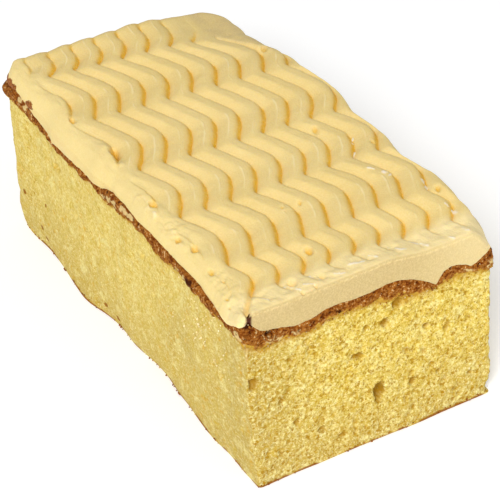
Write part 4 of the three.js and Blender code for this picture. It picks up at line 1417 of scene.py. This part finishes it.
# %% Browned crust
def browned_crust():
    material, shader = new_finish("browned crust", {
        "Roughness": 0.85, "IOR": 1.4, "Specular IOR Level": 0.1})
    place = add_node(material, "ShaderNodeTexCoord").outputs["Object"]
    patches, fine = (
        add_node(material, "ShaderNodeTexNoise",
                 {"Vector": place, "Scale": pattern_scale(size), "Detail": 3.0,
                  "Roughness": 0.6}).outputs["Fac"]
        for size in (2.2, 0.9))
    height, smear = (
        add_node(material, "ShaderNodeAttribute", attribute_name=name).outputs["Fac"]
        for name in ("height", "smear"))
    sugar, smeared, crumbly = (
        add_node(material, "ShaderNodeMath", {0: one, 1: other}, operation="ADD").outputs[0]
        for one, other in ((fine, patches), (smear, fine), (height, patches)))
    colour = lay_over(material, "#A86824", patches, 0.40, 0.60, 1, "#7C400A")
    for value, low, high, share, tone in (
            (height, 0.45, 0.0, 0.7, "#B47A2C"),        # lighter towards its lower edge
            (fine, 0.53, 0.64, 0.95, "#5E2202"),        # dark grains
            (fine, 0.46, 0.36, 0.6, "#BE8A4C"),         # light grains
            (sugar, 0.83, 0.75, 0.8, "#D8BC88"),        # a dusting of sugar
            (smeared, 0.85, 1.05, 0.8, "#E4CA8A"),      # smeared icing
            (crumbly, 0.68, 0.58, 0.9, "#C79C38"),      # sponge between its lowest crumbs
            ("hollow", 0.25, 1.0, 0.95, "#3C1402")):    # painted shade in pits and notches, and the burnt lump and tip
        colour = lay_over(material, colour, value, low, high, share, tone)
    finish_surface(material, shader, colour, fine, Strength=0.9, Distance=0.9 * MM)
    return material


wear(crust, browned_crust())

# %% [markdown]
# ## Loose crumbs
#
# Where the knife and the spreading tool passed, small crumbs of crust, flecks of icing
# and bits of browned sponge cling to the crust band, the left side and the foot. There
# are hundreds, so each kind is one piece, made by copying one small ball's points many
# times, each turned, stretched and roughened by its own random numbers.

# %% Scattering lumps
LUMP_OUT = 0.25                 # the lumps' middles stand this far out of the wall
LUMP_STRETCH = (0.55, 1.0)      # least and greatest stretch in each direction
LUMP_KNOBS = 0.22               # how knobbly they are
LUMP_TONES = (0.42, 1.2)        # height that each carries: golden below, browned above


def scatter(name, centres, sizes, seed):
    """One piece made of a rough little lump at each centre. All in millimetres."""
    deselect_all()
    bpy.ops.mesh.primitive_ico_sphere_add(subdivisions=1, radius=1)
    ball = bpy.context.object
    points = np.array([point.co[:] for point in ball.data.vertices])
    faces = np.array([face.vertices[:] for face in ball.data.polygons])
    random = np.random.default_rng(seed)
    count = len(centres)
    turns = np.linalg.qr(random.normal(size=(count, 3, 3)))[0]
    turns = turns * np.sign(np.linalg.det(turns))[:, None, None]
    stretches = random.uniform(*LUMP_STRETCH, size=(count, 1, 3))
    knobs = random.normal(size=(count, len(points), 1)).clip(-1.5, 1.5)
    shaped = points[None] * (1 + LUMP_KNOBS * knobs) * stretches * sizes[:, None, None]
    places = np.einsum("nij,nkj->nki", turns, shaped) + centres[:, None, :]
    places[..., 2] = np.maximum(places[..., 2], 0)
    all_faces = (faces[None] + np.arange(count)[:, None, None] * len(points)).reshape(-1, 3)
    mesh = bpy.data.meshes.new(name)
    mesh.from_pydata(to_metres(places.reshape(-1, 3)).tolist(), [], all_faces.tolist())
    bpy.data.objects.remove(ball)
    piece = bpy.data.objects.new(name, mesh)
    bpy.context.collection.objects.link(piece)
    layer = mesh.attributes.new("height", "FLOAT", "POINT")
    layer.data.foreach_set("value", np.repeat(random.uniform(*LUMP_TONES, count), len(points)))
    deselect_all()
    piece.select_set(True)
    bpy.context.view_layer.objects.active = piece
    bpy.ops.object.shade_smooth_by_angle(angle=math.radians(50))
    print(name, count, "lumps,", len(all_faces), "faces")
    return piece


def spots_on_wall(count, seed, band, sides):
    """Random places on the wall. The band gives the least and the greatest height.

    The sides say how close together the places are on the front, on the left, everywhere
    else, and on the left side near the front."""
    random = np.random.default_rng(seed)
    u, v = walk_outline(CRUST_SPACING)
    on_left = (u < 5) & (v >= 2)
    chance = sides["front"] * (v < 2) + sides["left"] * on_left + sides["other"]
    chance = chance + sides.get("near left", 0) * on_left * bell(v - 32, 16)
    chosen = random.choice(len(u), size=count, p=chance / chance.sum())
    u, v = u[chosen], v[chosen]
    share = random.uniform(0, 1, count)
    low, high = band(u, v)
    return wall_places(u, v, mix(low, high, share), LUMP_OUT + 0 * u), random


# %% Crumbs and flecks
def near_crust(u, v):
    low, high = crust_edges(u, v)
    return low - 1.2, high - 0.2


def upper_wall(u, v):
    return 40 + 0 * u, crust_edges(u, v)[0]


def at_the_foot(u, v):
    return 0.2 + 0 * u, 1.6 + 0 * u


LUMPS = [                       # name, count, least and greatest radius, seed, heights, sides
    ("crust_crumbs", 520, (0.2, 0.62), 201, near_crust, {"front": 0.6, "left": 1.6, "other": 0.12}),
    ("icing_flecks", 420, (0.12, 0.36), 211, near_crust, {"front": 1.0, "left": 1.2, "other": 0.1}),
    ("side_flecks", 90, (0.16, 0.48), 231, upper_wall,
     {"front": 0, "left": 0, "other": 0, "near left": 1}),
    ("foot_crumbs", 110, (0.2, 0.55), 221, at_the_foot, {"front": 1.0, "left": 0.8, "other": 0.5}),
]

lumps = {}
for name, count, radii, seed, heights, sides in LUMPS:
    centres, random = spots_on_wall(count, seed, heights, sides)
    lumps[name] = scatter(name, centres, random.uniform(*radii, count), seed + 1)

# %% [markdown]
# ## The curled flake
#
# When the bar was cut, a flake of crust at the front left corner rolled up into a small
# ring. A torus has that shape, and shaking its points in edit mode takes away its
# machine-made look. It carries the crust's numbers, so it can wear the crust's finish,
# painted dark inside the ring as shade and smeared with icing outside.

# %% The curled flake
CURL = (10.1, 1.9, 64.6)        # u, v, z of its middle
CURL_SIZE = (1.95, 0.6)         # radius of the ring and of its rolled edge
CURL_SHAKE = 0.2


def add_curl():
    """A flake of crust that rolled up into a ring when the bar was cut."""
    deselect_all()
    bpy.ops.mesh.primitive_torus_add(major_segments=28, minor_segments=12,
                                     major_radius=CURL_SIZE[0] * MM, minor_radius=CURL_SIZE[1] * MM,
                                     location=to_metres(CURL), rotation=(math.radians(30), 0.2, 0))
    curl = bpy.context.object
    bpy.ops.object.mode_set(mode="EDIT")
    bpy.ops.mesh.select_all(action="SELECT")
    bpy.ops.transform.vertex_random(offset=CURL_SHAKE * MM, uniform=1.0, seed=5)
    bpy.ops.object.mode_set(mode="OBJECT")
    bpy.ops.object.transform_apply(location=True, rotation=True, scale=True)
    curl.name = "crust_curl"
    curl.data.name = "crust_curl"
    places = np.array([point.co[:] for point in curl.data.vertices]) / MM - SHIFT
    away = np.hypot(places[:, 0] - CURL[0], places[:, 1] - CURL[1])
    # hollow: painted shade inside the ring
    for mark, values in (("height", 0.9 + 0 * away), ("hollow", ease(1.7, 1.3, away)),
                         ("smear", 0.5 * bell(away - 2.2, 0.35))):
        curl.data.attributes.new(mark, "FLOAT", "POINT").data.foreach_set("value", values)
    bpy.ops.object.shade_smooth_by_angle(angle=math.radians(60))
    print("crust_curl", len(curl.data.polygons), "faces")
    return curl


crust_curl = add_curl()

# %% [markdown]
# ## Flecks of icing
#
# Icing that was smeared on the crust took up its crumbs and is dull and tan. Icing that
# fell on the left side stayed clean and is the palest thing on the bar. Both are soft and
# matt, and uneven over about two millimetres.

# %% Flecks of icing
def pale_fleck(name, light, dark):
    material, shader = new_finish(name, {"Roughness": 0.7})
    place = add_node(material, "ShaderNodeTexCoord").outputs["Object"]
    uneven = add_node(material, "ShaderNodeTexNoise",
                      {"Vector": place, "Scale": pattern_scale(2), "Detail": 2.0, "Roughness": 0.6})
    colour = lay_over(material, light, uneven.outputs["Fac"], 0.35, 0.65, 1, dark)
    material.node_tree.links.new(colour, shader.inputs["Base Color"])
    return material


for piece in (lumps["crust_crumbs"], lumps["foot_crumbs"], crust_curl):
    wear(piece, crust.active_material)
wear(lumps["icing_flecks"], pale_fleck("smeared icing", "#D8C294", "#BE9E68"))
wear(lumps["side_flecks"], pale_fleck("fresh icing", "#F8ECBC", "#E8D088"))

# %% [markdown]
# ## Joining the skins to the model
#
# Each piece rides on the bar's one body. The three large skins also stand for the plain
# solids that they cover.

# %% Ride and replace
for piece, node in ((crumb, "sponge"), (crust, "sponge"), (icing, "icing")):
    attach(piece, "root")
    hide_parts(node)
for piece, slot in ((lumps["crust_crumbs"], "sponge"), (crust_curl, "sponge"),
                    (lumps["foot_crumbs"], "sponge"), (lumps["icing_flecks"], "icing"),
                    (lumps["side_flecks"], "icing")):
    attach(piece, "root")
print("pieces that ride on the bar:", 4 + len(lumps))

# %% [markdown]
# ## Floor, light and camera
#
# The bar stands on a plain white floor in a soft studio light: one large key light from
# the front left and high up, a weak fill from the right, and a pale sky all round. The
# floor lies a hair below the bar, so that the two faces don't flicker into each other.

# %% Floor
FLOOR_SIZE = 6                  # metres
FLOOR_DROP = 0.0002

deselect_all()
bpy.ops.mesh.primitive_plane_add(size=FLOOR_SIZE, location=(0, 0, -FLOOR_DROP))
floor = bpy.context.object
floor.name = "floor"
white_paper = new_finish("white paper", {
    "Base Color": (0.95, 0.95, 0.95, 1), "Roughness": 0.9,
    "Emission Color": (1, 1, 1, 1), "Emission Strength": 0.15})[0]
wear(floor, white_paper)


# %% Light
# Angles are in degrees, lengths in metres and power in watts.
KEY = {"azimuth": -40, "elevation": 43, "distance": 3.0, "size": 1.1, "power": 76}
FILL = {"azimuth": 45, "elevation": 30, "distance": 3.0, "size": 1.8, "power": 8}
SKY_STRENGTH = 0.41


def way_to(turn, rise):
    """The direction from the bar to a place. Turn 0 is in front of it, in radians."""
    return Vector((math.sin(turn) * math.cos(rise), -math.cos(turn) * math.cos(rise),
                   math.sin(rise)))


def add_softbox(name, azimuth, elevation, distance, size, power):
    """A square lamp that looks at the bar. Azimuth 0 is in front of it, -90 to its left."""
    away = way_to(math.radians(azimuth), math.radians(elevation))
    bpy.ops.object.light_add(type="AREA", location=away * distance)
    lamp = bpy.context.object
    lamp.name = name
    lamp.data.size = size
    lamp.data.energy = power
    lamp.rotation_mode = "QUATERNION"
    lamp.rotation_quaternion = away.to_track_quat("Z", "Y")
    return lamp


add_softbox("key", **KEY)
add_softbox("fill", **FILL)
world = bpy.data.worlds.new("pale studio")
bpy.context.scene.world = world
world.use_nodes = True
sky = world.node_tree.nodes["Background"]
sky.inputs["Color"].default_value = (1, 1, 1, 1)
sky.inputs["Strength"].default_value = SKY_STRENGTH
bpy.context.scene.view_settings.view_transform = "Standard"

# %% The camera
AZIMUTH = -28.8
ELEVATION = 37.4
ROLL = -2.0
DISTANCE = 914
LOOK_AT = (50.2, 85.5, 30)
FOCAL_PIXELS = 2433             # focal length in pixels of a square picture
FRAME_PIXELS = 500
SENSOR = 36
CLIP = (0.05, 20)


def add_camera():
    turn, rise, roll = (math.radians(angle) for angle in (AZIMUTH, ELEVATION, ROLL))
    back = way_to(turn, rise)
    right = Vector((math.cos(turn), math.sin(turn), 0))
    up = back.cross(right)
    tilted_right = right * math.cos(roll) + up * math.sin(roll)
    tilted_up = up * math.cos(roll) - right * math.sin(roll)
    target = Vector(to_metres(LOOK_AT))
    bpy.ops.object.camera_add()
    camera = bpy.context.object
    place = Matrix((tilted_right, tilted_up, back)).transposed().to_4x4()
    place.translation = target + back * DISTANCE * MM
    camera.matrix_world = place
    camera.data.sensor_width = SENSOR
    camera.data.lens = SENSOR * FOCAL_PIXELS / FRAME_PIXELS
    camera.data.clip_start, camera.data.clip_end = CLIP
    bpy.context.scene.camera = camera
    return camera


camera = add_camera()
print("the camera stands at", [round(value, 3) for value in camera.location])
